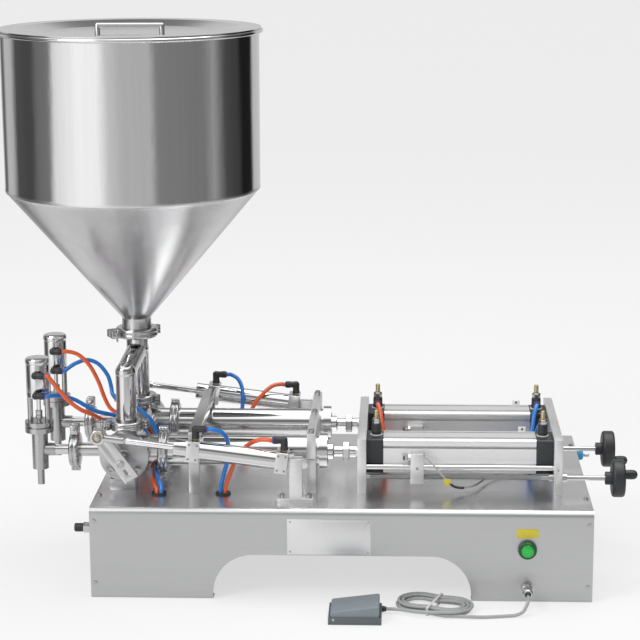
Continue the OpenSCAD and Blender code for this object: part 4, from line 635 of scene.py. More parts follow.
MIRROR = Matrix.Diagonal((1, -1, 1, 1))
MIRRORED = ("front", Matrix()), ("rear", MIRROR)
cast_polish = polished("cast_polish", 0.60, 0.12, (60, 60, 60), 0.06, 0.00004, 0.12)
finish_node("valve_bodies", cast_polish)
cover_finish = Finish("cover_satin", Metallic=1.0)
VALVE_X = -400
east, north, height = cover_finish.axes()
from_shaft = cover_finish.node("ShaderNodeCombineXYZ", {},
                               {0: east - VALVE_X/1000, 1: 0.0, 2: height - AXIS_Z/1000})
radius = cover_finish.node("ShaderNodeVectorMath", {"operation": "LENGTH"}, {0: from_shaft}, output="Value")
rings = cover_finish.node("ShaderNodeTexNoise", {"noise_dimensions": "1D"}, {"W": radius*900, "Detail": 3.0})
blotch = cover_finish.grain((60, 60, 60), 4)
cover_tone = cover_finish.between(0.5*rings + 0.4*blotch, (0.38, 0.38, 0.39), (0.58, 0.58, 0.59))
cover_finish.feed(Base_Color=cover_tone, Roughness=0.24 + 0.14*rings,
                  Normal=cover_finish.relief(rings, 0.00003))
deburred("valve_cover_parts", "valve_covers", 0.8, cover_finish.material, "machine", "satin_steel")
lever_bright = polished("lever_bright", 0.60, 0.2, (600, 600, 600), 0.04)
LEVER_Y, LEVER_REST, VANE_ANGLE = -98.5, math.radians(126), math.radians(48)
ROTOR_R, VANE_CHORD, LEVER_EYE_R = 24.95, 15, 4.9
for row, mirror in MIRRORED:
    body = f"{row}_valve"
    shaft = mirror @ at(VALVE_X, -LINE_Y, AXIS_Z)
    spin = shaft @ Matrix.Rotation(-LEVER_REST, 4, "Y")
    flat = spin @ aimed((0, 0, 0), (0, 1, 0))
    vane = shaft @ Matrix.Rotation(-LEVER_REST - VANE_ANGLE, 4, "Y")
    rotor = spun([(LEVER_Y + 2, 0), (LEVER_Y + 2, 7.9), (-40.7, 8), (-40.7, ROTOR_R), (-32.7, ROTOR_R),
                  (-32.7, 0)], flat, 40, 0.3)
    add_turned(rotor, disc(30.7, 38.7, ROTOR_R), flat, 40, 0.3)
    chord = math.degrees(math.acos(VANE_CHORD/ROTOR_R))
    add_plate(rotor, [loop((0, 0, ROTOR_R, -90 - chord, chord - 90))], -33, 31,
              vane @ aimed((0, 0, 0), (0, 1, 0)))
    build(f"{row}_rotor", rotor, body, satin, "satin_steel", f"{row}_valve_rotor")
    lever = bmesh.new()
    outline = loop((-33, -11, 3, -180, -90), (66, 0, 14, -90, 90), (-33, 11, 3, 90, 180))
    slot = loop((-13.5, 0, 2.5, -90, 90), (-20.5, 0, 2.5, 90, 270))
    eye = loop((66, 0, LEVER_EYE_R, 0, 350))
    as_face = [[(-u, v) for u, v in line] for line in (outline, slot, eye)]
    add_plate(lever, as_face, LEVER_Y, LEVER_Y + 6, flat, 0.6)
    add_turned(lever, [(LEVER_Y + 0.2, 0), (LEVER_Y - 0.8, 9.5), (LEVER_Y, 9.5)], flat, 40, 0.1)
    build(f"{row}_lever", lever, body, lever_bright, "polished_steel")
    nut = spun([(LEVER_Y, 0), (LEVER_Y, 7.5), (LEVER_Y - 3.4, 7.5), (LEVER_Y - 4, 6.6), (LEVER_Y - 4, 3.4),
                (LEVER_Y - 3, 2.6), (LEVER_Y - 3, 0)], flat, 6, 0.2)
    build(f"{row}_lever_nut", nut, body, screw_steel, "screw_steel")


# Product pipes and their clamps
# Mirror-polished sanitary pipes: a forked manifold under the hopper and the two outlets. Each joint's
# two ferrules are held by a hinged clamp, cast in steel, with a swing bolt and a wing nut.
pipe_polish = polished("pipe_polish", 0.64, 0.055, (40, 40, 700), 0.04, 0.000006, 0.05)
finish_node("feed_manifold", pipe_polish)
finish_node("outlet_pipes", tube_steel)
clamps = bmesh.new()
wings = bmesh.new()
BIG_FERRULE, SMALL_FERRULE = 64, 50.5


def add_clamp(matrix, ferrule, pipe):
    """A clamp round two ferrules, its axis along Z, its bolt at -Y and its hinge at +Y."""
    r = ferrule/2 + 7.5
    upright = matrix @ aimed((0, 0, 0), (0, 0, 1))
    inside = pipe/2 + 0.8
    add_turned(clamps, [(-9, inside), (-9, r - 2.5), (-6, r), (-2, r), (-1.2, r - 0.8), (1.2, r - 0.8),
                        (2, r), (6, r), (9, r - 2.5), (9, inside), (-9, inside)], upright, 56, 0.8)
    for x in (-14, 2.2):
        part = bmesh.new()
        add_block(part, (x, -r - 16, -7.5), (x + 11.8, 2 - r, 7.5), 2.2, 3)
        merge(clamps, part, matrix)
    hinge = matrix @ aimed((0, r + 1.5, 0), (0, 0, 1))
    for z0, z1 in ((-8, -3.2), (-2.6, 2.6), (3.2, 8)):
        add_turned(clamps, disc(z0, z1, 6.5), hinge, 28, 0.8)
    add_turned(clamps, disc(-8.6, 8.6, 2.4), hinge, 20, 0.3)
    bolt = matrix @ aimed((0, -r - 8, 0), (1, 0, 0))
    add_turned(wings, [(-23, 0), (-23, 2.6), (-22.4, 3), (19, 3), (19, 0)], bolt, 20)
    add_turned(wings, [(-18.5, 2), (-18.5, 6), (-14, 6.9), (-14, 2)], bolt, 6, 0.3)
    add_turned(wings, [(14, 2.5), (14, 6.5), (17.5, 6), (20, 4.6), (23, 4.2), (23, 2.5)], bolt, 28, 0.8)
    for side in (-1, 1):
        ear = bmesh.new()
        place = at(19.2, 0, 8*side) @ Matrix.Diagonal((3.8, 1.5, 5, 1))
        bmesh.ops.create_uvsphere(ear, u_segments=16, v_segments=10, radius=0.001, matrix=place)
        merge(wings, ear, bolt)


def turned(axis, degrees):
    """A turn about one axis."""
    return Matrix.Rotation(math.radians(degrees), 4, axis)


HOPPER_X, NECK_Z = -390, 436
add_clamp(at(HOPPER_X, 0, NECK_Z) @ turned("Z", -60), BIG_FERRULE, 54)
for mirror in (Matrix(), MIRROR):
    line = mirror @ at(0, -LINE_Y, AXIS_Z)
    add_clamp(line @ at(VALVE_X, 0, 49) @ turned("Z", -80), SMALL_FERRULE, 38)
    add_clamp(line @ at(-331.5, 0, 0) @ turned("Y", 90) @ turned("Z", 90), BIG_FERRULE, 57)
    add_clamp(line @ at(-497, 0, 0) @ turned("Y", -90) @ turned("Z", 90), SMALL_FERRULE, 25)
clamp_steel = polished("clamp_cast", 0.52, 0.13, (120, 120, 120), 0.08, 0.00006, 0.14)
build("clamp_bands", clamps, "machine", clamp_steel, "polished_steel", "pipe_clamps")
fit(mesh_piece("clamp_wing_nuts", wings, 50), "machine", lever_bright, "polished_steel")


# Hopper
# A rolled and welded bowl of 2 mm stainless sheet on a cone, polished round and round, with a rolled
# wire edge at the rim, a dressed weld at the cone and a ferrule at the neck.
stand = aimed((HOPPER_X, 0, 0), (0, 0, 1))
WIRE_Z, WIRE_R, WIRE_HALF = 997, 239, 3.9
bead = [(WIRE_Z + WIRE_HALF*math.sin(math.radians(a)), WIRE_R + WIRE_HALF*math.cos(math.radians(a)))
        for a in range(-150, 121, 15)]
hopper = spun([(NECK_Z, 24), (NECK_Z, 32), (440, 31.6), (440.5, 27.2), (463.5, 27.1), (467, 29.5),
               (706, 232.2), (708, 234.6), (712, 235.2), (715, 234.9)] + bead
              + [(1000.6, 235), (1000.6, 233.6), (710, 233.5), (464, 24), (NECK_Z, 24)], stand, 160, 0.6)
hopper_steel = Finish("hopper_polish", Metallic=1.0)
height = hopper_steel.axes()[2]
streaks = hopper_steel.grain((48, 48, 1.3), 4, 0.65)
waves = hopper_steel.grain((9, 9, 2.4), 3, 0.5)
smoke = hopper_steel.grain((22, 22, 8), 5, 0.6)
bowl = height.soft(0.700, 0.708)
seam = bowl*(1 - height.soft(0.711, 0.716))
dull = hopper_steel.between(bowl, (0.50, 0.50, 0.505), (0.60, 0.60, 0.605))
bright = hopper_steel.between(bowl, (0.68, 0.68, 0.685), (0.77, 0.77, 0.775))
hopper_steel.feed(Base_Color=hopper_steel.between(0.75*streaks + 0.25*seam, dull, bright),
                  Roughness=0.05 + 0.05*streaks + 0.05*smoke + 0.22*seam + 0.15*(1 - bowl),
                  Normal=hopper_steel.relief(streaks*0.35 + waves*5 + smoke, 0.00022))
build("hopper_bowl", hopper, "machine", hopper_steel.material, "polished_steel", "hopper")


# Hopper lid
# Pressed from the same sheet, with a sunken round middle and a bar handle welded on it. It lies
# loose on the rolled rim, and the CAD part shows its whole shape.
finish_node("hopper_lid", ring_steel)


# Nozzles
# Satin turned bodies with a yoke of two posts; above it a polished air cylinder lifts the plunger that
# shuts the nozzle. Two black push-in elbows with violet release rings feed each of them.
NOZZLE_X = -563
nozzle_satin = polished("nozzle_satin", 0.46, 0.2, (40, 40, 900), 0.06, 0.00002)
finish_node("nozzle_bodies", nozzle_satin)
release_violet = moulded("release_violet", (0.16, 0.08, 0.42), 0.35)


def add_elbow(body, rings, collars, place, stub, arm, d):
    """A push-in elbow: its ball at the origin, its stub along +Z and its mouth along +X."""
    up = place @ aimed((0, 0, 0), (0, 0, 1))
    r = d/2
    add_turned(body, [(0, 0), (0, r), (stub - 6.5, r), (stub - 6, 1.12*r), (stub - 2, 1.12*r),
                      (stub - 2, 0)], up, 32, 0.4)
    add_turned(body, [(arm - 6, 0), (arm - 6, 4.1), (arm, 4.1), (arm, r - 0.4), (arm - 0.9, r + 0.2),
                      (arm - 8, r + 0.2), (arm - 9, r - 0.3), (0, r - 0.3), (0, 0)], place, 36, 0.5)
    ball = bmesh.new()
    bmesh.ops.create_uvsphere(ball, u_segments=28, v_segments=16, radius=(r + 0.3)/1000)
    merge(body, ball, place)
    add_turned(rings, [(arm - 3, 4.1), (arm - 3, r - 1), (arm + 1.6, r - 1), (arm + 2, r - 1.5),
                       (arm + 2, 4.15), (arm - 3, 4.1)], place, 36, 0.3)
    add_turned(collars, disc(stub - 2.2, stub, 0.9*r), up, 6, 0.2)


actuators, elbows, releases, collars = (bmesh.new() for k in range(4))
for row, row_y in ROWS:
    upright = aimed((NOZZLE_X, row_y, 0), (0, 0, 1))
    add_turned(actuators, [(407, 0), (407, 20.4), (404.4, 21.5), (404, 22.5), (398, 22.5), (398, 21.5),
                           (396.5, 21.5), (396.1, 21), (395.1, 21), (394.7, 21.5), (345, 21.5), (344.6, 21),
                           (343.6, 21), (343.2, 21.5), (334, 21.5), (333, 20.5), (333, 4.1), (342, 4.1),
                           (342, 18), (398, 18), (398, 0)], upright, 72, 0.25)
    for z in (341, 379):
        place = at(NOZZLE_X, row_y - 30.5, z) @ turned("X", -90)
        add_elbow(elbows, releases, collars, place, 9.6, 17, 12)
    plunger = spun([(190, 0), (190, 3.4), (191.5, 4.45), (196, 4.45), (196, 4), (342.3, 4), (342.3, 17.95),
                    (352.3, 17.95), (352.3, 0)], upright, 32, 0.3)
    build(f"{row}_plunger_rod", plunger, f"{row}_plunger", chrome, "satin_steel", f"{row}_nozzle_plunger")
    nut = spun([(291, 4), (291, 6.1), (292, 6.5), (298, 6.5), (298.4, 5.6), (299.6, 5.6), (300, 6.5),
                (306, 6.5), (307, 6.1), (307, 4)], upright, 6, 0.2)
    build(f"{row}_plunger_nuts", nut, f"{row}_plunger", nickel, "satin_steel")
build("nozzle_actuators", actuators, "machine", tube_steel, "polished_steel", "nozzle_cylinders")
build("nozzle_elbows", elbows, "machine", black_plastic, "black_plastic")
build("nozzle_release_rings", releases, "machine", release_violet, "black_plastic")
brass = Finish("bright_brass", Metallic=1.0)
tarnish = brass.grain((260, 260, 260), 3)
brass.feed(Base_Color=brass.between(tarnish, (0.58, 0.46, 0.24), (0.68, 0.58, 0.36)),
           Roughness=0.2 + 0.12*tarnish, Normal=brass.relief(tarnish, 0.00002))
build("nozzle_elbow_threads", collars, "machine", brass.material, "screw_steel")


# Air cylinders and their speed controllers
# Extruded, clear anodised barrels with sensor slots between black cast end caps; on each cap stands a
# black banjo fitting with a white ring, a nickel lock nut and a brass throttle screw.
cap_black = moulded("cap_black", (0.022, 0.026, 0.029), 0.36, 1.5, 0.00006)
deburred("air_caps", "air_cylinder_caps", 1.0, cap_black, "machine", "cap_black", 50)
anodised = polished("clear_anodised", 0.88, 0.42, (6, 500, 500), 0.05, 0.00001)
finish_node("air_cylinder_barrels", anodised)
CAP_TOP = AXIS_Z + 32.5
bodies, white_rings, lock_nuts, throttles, sleeves = (bmesh.new() for k in range(5))
knurls = [(33.8 + 1.0*k, 4.5 - 0.4*(k % 2)) for k in range(12)]
for mirror in (Matrix(), MIRROR):
    for x in (62, 367):
        foot = mirror @ at(x, -LINE_Y, CAP_TOP)
        up = foot @ aimed((0, 0, 0), (0, 0, 1))
        arm = foot @ aimed((0, 0, 14), (0, 1, 0))
        add_turned(bodies, [(0, 0), (0, 7.4), (2, 7.4), (2, 9.4), (8, 9.4), (8.6, 8.8), (20, 8.8), (22, 7.4),
                            (22, 0)], up, 44)
        add_turned(bodies, [(0, 0), (0, 5.6), (15.5, 5.6), (16, 6.2), (22, 6.2), (23, 5.4), (23, 4.1),
                            (17, 4.1), (17, 0)], arm, 36)
        add_turned(white_rings, [(0, 7.8), (0, 11), (1.9, 11), (1.9, 7.8), (0, 7.8)], up, 44, 0.3)
        add_turned(lock_nuts, [(22, 3.6), (22, 7.2), (22.8, 8), (30.2, 8), (31, 7.2), (31, 3.6)], up, 6, 0.2)
        add_turned(throttles, [(31, 0), (31, 3.2), (33, 3.2), (33.4, 4.5)] + knurls
                   + [(46, 4.2), (47, 3.4), (47, 1.1), (45.6, 0.9), (45.6, 0)], up, 32, 0.15)
        add_turned(throttles, disc(31, 31.8, 6, 3), up, 32, 0.2)
        add_turned(sleeves, disc(21, 25, 5, 4.15), arm, 32, 0.2)
build("controller_bodies", bodies, "machine", black_plastic, "black_plastic", "speed_controllers")
build("controller_rings", white_rings, "machine", tie_white, "white_tie")
build("controller_lock_nuts", lock_nuts, "machine", nickel, "screw_steel")
build("controller_throttles", throttles, "machine", brass.material, "screw_steel")
build("controller_release_rings", sleeves, "machine", release_violet, "black_plastic")
tabs, tab_dots = bmesh.new(), bmesh.new()
for row_y, x in ((-LINE_Y, 324), (LINE_Y, 323)):
    add_block(tabs, (x, row_y + 27, 262), (x + 14, row_y + 32.5, 272.5), 0.8)
    add_turned(tab_dots, disc(0, 0.6, 2), aimed((x + 7, row_y + 27.2, 269), (0, -1, 0)), 20, 0.1)
build("position_sensors", tabs, "machine", tie_white, "white_tie")
build("position_sensor_dots", tab_dots, "machine", rubber, "black_rubber")
finish_node("guide_rods", chrome)


# Stroke stops
# A handwheel turns a threaded screw, which moves an aluminium stop block with a proximity sensor along
# the chromed guide rod. Wheels and grips are moulded in black, and each sensor has a grey lead.
def bending_tube(name, line, diameter, material, slot, body, start, end):
    """A tube mesh along a line, left where it is made; its slot, body, start and end are not used."""
    path = tubes(name + "_path", [line], diameter)
    tube = bpy.data.objects.new(name, bpy.data.meshes.new_from_object(path))
    bpy.context.scene.collection.objects.link(tube)
    bpy.data.objects.remove(path)
    tube.data.materials.append(material)
    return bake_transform(tube)


SCREW_OFF, SCREW_Z, ROD_Z, CRANK = 42, 197, 215, 23
THREAD_START, THREAD_PITCH, THREAD_TURNS = 52, 1.25, 248
ridges = [point for k in range(THREAD_TURNS)
          for point in ((THREAD_START + THREAD_PITCH*k, 4), (THREAD_START + 0.6 + THREAD_PITCH*k, 4.5))]
for row, row_y in ROWS:
    screw_y = row_y - SCREW_OFF
    line = aimed((0, screw_y, SCREW_Z))
    screw = spun([(32, 0), (32, 3.6), (33, 4.4), (51, 4.4)] + ridges
                 + [(376.7, 4.4), (376.7, 8), (384.7, 8), (384.7, 4.4), (401.3, 4.4), (401.3, 8), (409.3, 8),
                    (409.3, 4.4), (479, 4.4), (479, 0)], line, 28, 0)
    build(f"{row}_screw_thread", screw, f"{row}_screw", screw_steel, "satin_steel", f"{row}_lead_screw")
    wheel = spun([(479, 4.5), (479, 12), (490, 12), (490.5, 14), (490.5, 29), (492, 33), (495, 34.5),
                  (510, 34.5), (513, 33), (514, 30.8), (514, 27), (512.5, 25), (502, 24.5), (500, 22.5),
                  (500, 13.5), (501, 12), (513, 12), (514, 11), (514, 4.5), (479, 4.5)], line, 80, 1.4)
    build(f"{row}_wheel", wheel, f"{row}_screw", black_plastic, "black_plastic", f"{row}_handwheel")
    grip_place = (0, screw_y + CRANK, SCREW_Z) if row == "front" else (0, screw_y, SCREW_Z - CRANK)
    grip_line = aimed(grip_place)
    grip = spun([(515, 0), (515, 7), (518.5, 8.3), (528, 9), (535, 8.4), (539, 6), (541, 0)],
                grip_line, 40, 0.8)
    build(f"{row}_wheel_grip", grip, f"{row}_screw", black_plastic, "black_plastic")
    stem = spun(disc(499.5, 515.2, 4), grip_line, 24)
    add_turned(stem, [(514, 0), (514, 6), (514.8, 6), (514.8, 3.6), (517, 3.2), (517, 0)], line, 28, 0.2)
    build(f"{row}_wheel_stem", stem, f"{row}_screw", screw_steel, "screw_steel")
    block = bmesh.new()
    square = [(-52, 186), (-33, 186), (-33, 242), (-52, 242)]
    bores = [loop((-SCREW_OFF, SCREW_Z, 4.55, 0, 348)), loop((-SCREW_OFF, ROD_Z, 5.05, 0, 348))]
    add_plate(block, [square] + bores, 125, 149, at(0, row_y, 0), 0.5)
    build(f"{row}_block", block, f"{row}_stop", milled.material, "plate_aluminium", f"{row}_stop_block")
    sensor_line = aimed((0, screw_y, AXIS_Z))
    sensor = spun([(111, 0), (111, 3.2), (112, 3.9), (114.5, 3.9), (114.5, 0)], sensor_line, 32)
    add_turned(sensor, [(148.5, 0), (148.5, 3), (150, 2.6), (150, 0)],
               aimed((0, screw_y, AXIS_Z + 4)), 24, 0.2)
    add_turned(sensor, [(0.5, 0), (0.5, 1.1), (-0.2, 1.2), (-0.3, 2.3), (0.5, 2.5)],
               aimed((137, screw_y - 10, ROD_Z), (0, 1, 0)), 24, 0.1)
    build(f"{row}_sensor", sensor, f"{row}_stop", black_plastic, "black_plastic")
    fine_thread = [(114.4 + 0.5*k, 4 - 0.35*(k % 2)) for k in range(22)]
    barrel = spun([(114, 3)] + fine_thread + [(126, 3.7)], sensor_line, 32, 0)
    add_turned(barrel, [(120.5, 3.8), (120.5, 6.2), (121, 6.8), (124.5, 6.8), (125, 6.2), (125, 3.8)],
               sensor_line, 6, 0.2)
    build(f"{row}_sensor_barrel", barrel, f"{row}_stop", nickel, "screw_steel")
through_deck = [(342.6, 3.4, 176), (344.1, 2.6, 171), (344.1, 2.4, 166), (343.8, 2.6, 160), (343, 5, 155),
                (338, 18, 147)]
front_lead_points = [
    (150, -151, 236), (156, -151, 234), (171, -152, 218), (189, -152, 196), (204, -152, 183),
    (222, -144, 178), (240, -128, 177), (252, -108, 177), (270, -70, 177), (306, -30, 176), (335, -7, 179),
    *((x, -y, z) for x, y, z in through_deck),
    (334, -42, 137), (340, -57, 123), (346, -60, 122), (349, -60, 122), (351.8, -60, 122)]
rear_lead_points = [
    (150, 41, 236), (156, 41, 234), (171, 41, 218), (189, 42, 198), (210, 42, 184), (240, 38, 178),
    (290, 26, 176), (334, 9, 179), *through_deck,
    (334, 32, 137), (340, 41, 123), (346, 44, 122), (349, 44, 122), (351.8, 44, 122)]
lead_grey = moulded("lead_grey", (0.50, 0.50, 0.51), 0.4, 0.8)
LEAD_D, SHRINK_D, SHRINK_START, SHRINK_END = 0.0035, 0.0044, 0.189, 0.226
LEAD_BEND = (0.2, 0, 0), (0.345, 0, 0)
for row, points in (("front", front_lead_points), ("rear", rear_lead_points)):
    lead = bending_tube(f"{row}_sensor_lead", smooth_line(points, 4), LEAD_D, lead_grey, "grey_cord",
                        f"{row}_stop", *LEAD_BEND)
    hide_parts("sensor_leads")
shrink = [q for q in smooth_line(front_lead_points, 4) if SHRINK_START < q.x < SHRINK_END]
bending_tube("cable_sleeve", shrink, SHRINK_D, rubber, "black_rubber", "front_stop", *LEAD_BEND)
tag = bmesh.new()
add_block(tag, (186, -154.5, 186), (198, -153.7, 198), 0.2, 1)
build("cable_tag", tag, "front_stop", label_yellow.material, "yellow_label")


# Swing cylinders
# Slim air cylinders that turn the rotary valves: polished tubes between square aluminium caps, hung in
# the brackets by an ear; each rod ends in a steel eye with a brass ball on the valve lever.
cap_light = polished("cap_light", 0.68, 0.26, (300, 300, 300), 0.05)
PIVOT_X, PIVOT_Y, PIVOT_Z, SWING_ANGLE = -80, -202, 240.6, -172.88
BACK_CAP, FRONT_CAP, CAP_HALF, ROD_EYE_X = (16, 38), (176, 199), 18, 361.58
for row, mirror in MIRRORED:
    hang = mirror @ at(PIVOT_X, PIVOT_Y, PIVOT_Z) @ turned("Y", SWING_ANGLE)
    body = f"{row}_swing"
    caps = bmesh.new()
    square = loop((CAP_HALF, CAP_HALF, 1.5, 0, 90), (-CAP_HALF, CAP_HALF, 1.5, 90, 180),
                  (-CAP_HALF, -CAP_HALF, 1.5, 180, 270), (CAP_HALF, -CAP_HALF, 1.5, 270, 360))
    add_plate(caps, [square], *BACK_CAP, hang, 0.4)
    add_plate(caps, [square, loop((0, 0, 6.05, 0, 348))], *FRONT_CAP, hang, 0.4)
    ear = bmesh.new()
    face = loop((16, 8), (16, -8), (-13, 0, 8, 270, 90))
    add_plate(ear, [face, loop((0, 0, 4.05, 0, 345))], -6, 6, Matrix(), 0.5)
    swapped = Matrix(((0, 1, 0, 0), (1, 0, 0, 0), (0, 0, 1, 0), (0, 0, 0, 1)))
    merge(caps, ear, hang @ swapped)
    build(f"{row}_swing_caps", caps, body, cap_light, "plate_aluminium", f"{row}_swing_cylinder")
    tube = spun([(38, 14), (38, 17), (176, 17), (176, 14), (38, 14)], hang, 64, 0)
    add_turned(tube, [(199, 6.05), (199, 16), (222, 16), (223, 15), (223, 6.05), (199, 6.05)], hang, 48, 0.4)
    build(f"{row}_swing_tube", tube, body, tube_steel, "polished_steel")
    dots = bmesh.new()
    for low, high in (BACK_CAP, FRONT_CAP):
        for x in (low + 4.5, high - 4.5):
            for z in (-13.5, 13.5):
                add_turned(dots, [(0, 0), (0, 1.2), (0.5, 1.3), (0.5, 2.2), (-0.4, 2.3)],
                           hang @ aimed((x, -19.5, z), (0, -1, 0)), 16, 0.1)
    build(f"{row}_swing_screws", dots, body, screw_steel, "screw_steel")
    black, release, threads = bmesh.new(), bmesh.new(), bmesh.new()
    for x, way in ((27, -1), (187.5, 1)):
        neck = hang @ at(x, 0, -38.5)
        along = Vector((way, 0, 0))
        down = (neck.to_3x3() @ Vector((0, 0, 1))).normalized()
        across = down.cross(along).normalized()
        rows = Matrix((along, across, along.cross(across))).transposed().to_4x4()
        add_elbow(black, release, threads, Matrix.Translation(neck.translation) @ rows, 19, 20, 13)
    build(f"{row}_swing_elbows", black, body, black_plastic, "black_plastic")
    build(f"{row}_swing_release", release, body, release_violet, "black_plastic")
    build(f"{row}_swing_threads", threads, body, brass.material, "screw_steel")
    body = f"{row}_rod"
    rod = spun([(161, 0), (161, 13.95), (173, 13.95), (173, 6), (310, 6), (310, 0)], hang, 40, 0.3)
    build(f"{row}_swing_piston_rod", rod, body, chrome, "polished_steel", f"{row}_swing_rod")
    end = spun([(315, 4), (315, 6.6), (317, 7), (348, 7), (352, 9), (352, 0)], hang, 40)
    sideways = hang @ aimed((ROD_EYE_X, 0, 0), (0, 1, 0))
    add_turned(end, [(-7, 8.15), (-7, 12.6), (-5.6, 14), (5.6, 14), (7, 12.6), (7, 8.15), (-7, 8.15)],
               sideways, 56, 0.6)
    build(f"{row}_rod_end", end, body, cast_polish, "polished_steel")
    ball = spun([(-7, 5), (-7, 6.2), (-6, 7.2), (-3, 8), (3, 8), (6, 7.2), (7, 6.2), (7, 5), (-7, 5)],
                sideways, 40, 0.5)
    build(f"{row}_rod_ball", ball, body, brass.material, "satin_steel")
    fixing = spun([(-9.4, 0), (-9.4, 4.3), (-8.9, 4.85), (-6.6, 4.85), (-6.6, 4.6), (7, 4.6), (7, 0)],
                  sideways, 6, 0.2)
    add_turned(fixing, [(310, 6.1), (310, 6.7), (310.6, 7.2), (314.4, 7.2), (315, 6.7), (315, 6.1)],
               hang, 6, 0.2)
    build(f"{row}_rod_bolt", fixing, body, screw_steel, "screw_steel")


# Air hoses
# Polyurethane tubes of 8 mm, blue and orange, from the fittings through the deck's grommets to the
# valves underneath; where they run under the deck is guessed. The four hoses of the swing cylinders
# are pieces of their own.
def out_of(points, way):
    """Each hose leaves its fitting straight for 5 mm."""
    first = Vector(points[0])
    return [first, first + Vector(way)*2.5, first + Vector(way)*5] + [Vector(q) for q in points[1:]]


def to_port(points, port, back, beyond, near):
    """Adds the hose's run under the deck, from its grommet to its port."""
    port, back, q = Vector(port), Vector(back), points[-1]
    bend, close = q.lerp(port, 0.03), q.lerp(port, 0.12)
    return (points + [Vector((q.x, q.y, port.z + 13)), Vector((bend.x, bend.y, port.z + 4)),
                      Vector((close.x, close.y, port.z))] + [port + k*back for k in beyond] + [port + back]
            + [port + k*back for k in near] + [port])


BANK_START, BANK_END, BANK_HALF, VALVES, VALVE_HALF, PORT_Z, PORT_STEP = -170, 50, 30, 6, 10, 137, 10


def valve_x(place):
    """The middle of one of the valves in the bank."""
    return BANK_START + (place + 0.5)*(BANK_END - BANK_START)/VALVES


def front_port(place, level):
    """A port on the front of a valve: where it is, the way out of it, and the hose's points there."""
    return ((valve_x(place), -BANK_HALF - 0.15, PORT_Z - PORT_STEP*level), (0, -20, 0), [3], [0.4])


def end_port(y, level, beyond):
    """A port on the right end of the last valve."""
    return ((valve_x(VALVES - 1) + VALVE_HALF + 0.15, y, PORT_Z - PORT_STEP*level), (20, 0, 0), beyond, [])


def flipped(points):
    """The same line on the other side of the machine."""
    return [Vector((q.x, -q.y, q.z)) for q in points]


front_orange = [(-545.8, -126.5, 379), (-538, -126, 378), (-526, -122, 360), (-504, -112, 329),
                (-484, -103, 310), (-469, -92, 300), (-456, -72, 286), (-440, -56, 274), (-420, -46, 264)]
front_blue = [(-545.8, -126.5, 341), (-538, -124, 341), (-522, -106, 337), (-498, -90, 326),
              (-476, -82, 311), (-458, -74, 299), (-440, -58, 290), (-420, -46, 282)]
rear_orange = [(-545.8, 65.5, 379), (-536, 66, 380), (-514, 66, 374), (-492, 62, 354), (-475, 60, 322),
               (-463, 56, 290), (-450, 50, 270), (-428, 46, 260)]
rear_blue = [(-545.8, 65.5, 341), (-536, 67, 345), (-520, 72, 355), (-498, 76, 361), (-477, 77, 353),
             (-460, 76, 332), (-453, 72, 312), (-449, 64, 297), (-438, 54, 288), (-420, 46, 282)]
orange_tail = [(-400, -44, 250), (-380, -44, 225), (-366, -52, 202), (-356, -80, 190), (-349, -120, 188),
               (-346, -146, 184), (-339.5, -162, 177), (-338.2, -166, 170), (-338.2, -166, 160)]
blue_tail = [(-400, -40, 276), (-378, -38, 258), (-362, -40, 230), (-357, -50, 208), (-350, -76, 198),
             (-345.5, -112, 197), (-336, -148, 190), (-330.5, -162, 180), (-329.8, -166, 171),
             (-329.8, -166, 160)]
swing_blue = [(-239.8, -202, 302), (-232, -202, 302), (-218, -194, 296), (-209, -182, 283),
              (-206, -170, 264), (-208, -164, 234), (-216, -163, 204), (-221, -163, 180), (-221.2, -163, 160)]
swing_orange = [(-122.4, -202, 282), (-130, -202, 283), (-148, -196, 281), (-165, -182, 270),
                (-180, -168, 254), (-193, -160, 232), (-204, -159, 206), (-212, -162, 182),
                (-212.8, -163, 160)]
left_drop = [(62, -72.8, 278.5), (63, -64, 278), (68, -50, 265), (73, -34, 236), (77, -14, 200),
             (78, -5.6, 180), (78, -4.4, 168), (78, -4.4, 160)]
right_drop = [(367, -72.8, 278.5), (366, -64, 278), (361, -50, 265), (356, -34, 236), (351, -14, 200),
              (350, -5.6, 180), (350, -4.4, 168), (350, -4.4, 160)]
EAST, WEST, NORTH, HOSE_D = (1, 0, 0), (-1, 0, 0), (0, 1, 0), 0.008
blue_lines = [to_port(out_of(front_blue + blue_tail, EAST), *front_port(0, 0)),
              flipped(to_port(flipped(out_of(rear_blue, EAST)) + [Vector(q) for q in blue_tail],
                              *front_port(0, 0)))]
orange_lines = [to_port(out_of(front_orange + orange_tail, EAST), *front_port(0, 1)),
                flipped(to_port(flipped(out_of(rear_orange, EAST)) + [Vector(q) for q in orange_tail],
                                *front_port(0, 1)))]
for lines, line in ((blue_lines, to_port(out_of(right_drop, NORTH), *end_port(-4.4, 1.5, [3]))),
                    (orange_lines, to_port(out_of(left_drop, NORTH), *end_port(-4.4, 0, [])))):
    lines += [line, flipped(line)]
hose_blue = moulded("hose_blue", (0.015, 0.25, 0.82), 0.2, 0.75, Coat_Weight=0.35)
hose_orange = moulded("hose_orange", (0.95, 0.14, 0.03), 0.2, 0.8, Coat_Weight=0.35)
fit(tubes("air_hoses_blue", [smooth_line(line, 5) for line in blue_lines], HOSE_D), "machine", hose_blue,
    "blue_hose", "blue_hoses")
fit(tubes("air_hoses_orange", [smooth_line(line, 5) for line in orange_lines], HOSE_D), "machine",
    hose_orange, "orange_hose", "orange_hoses")
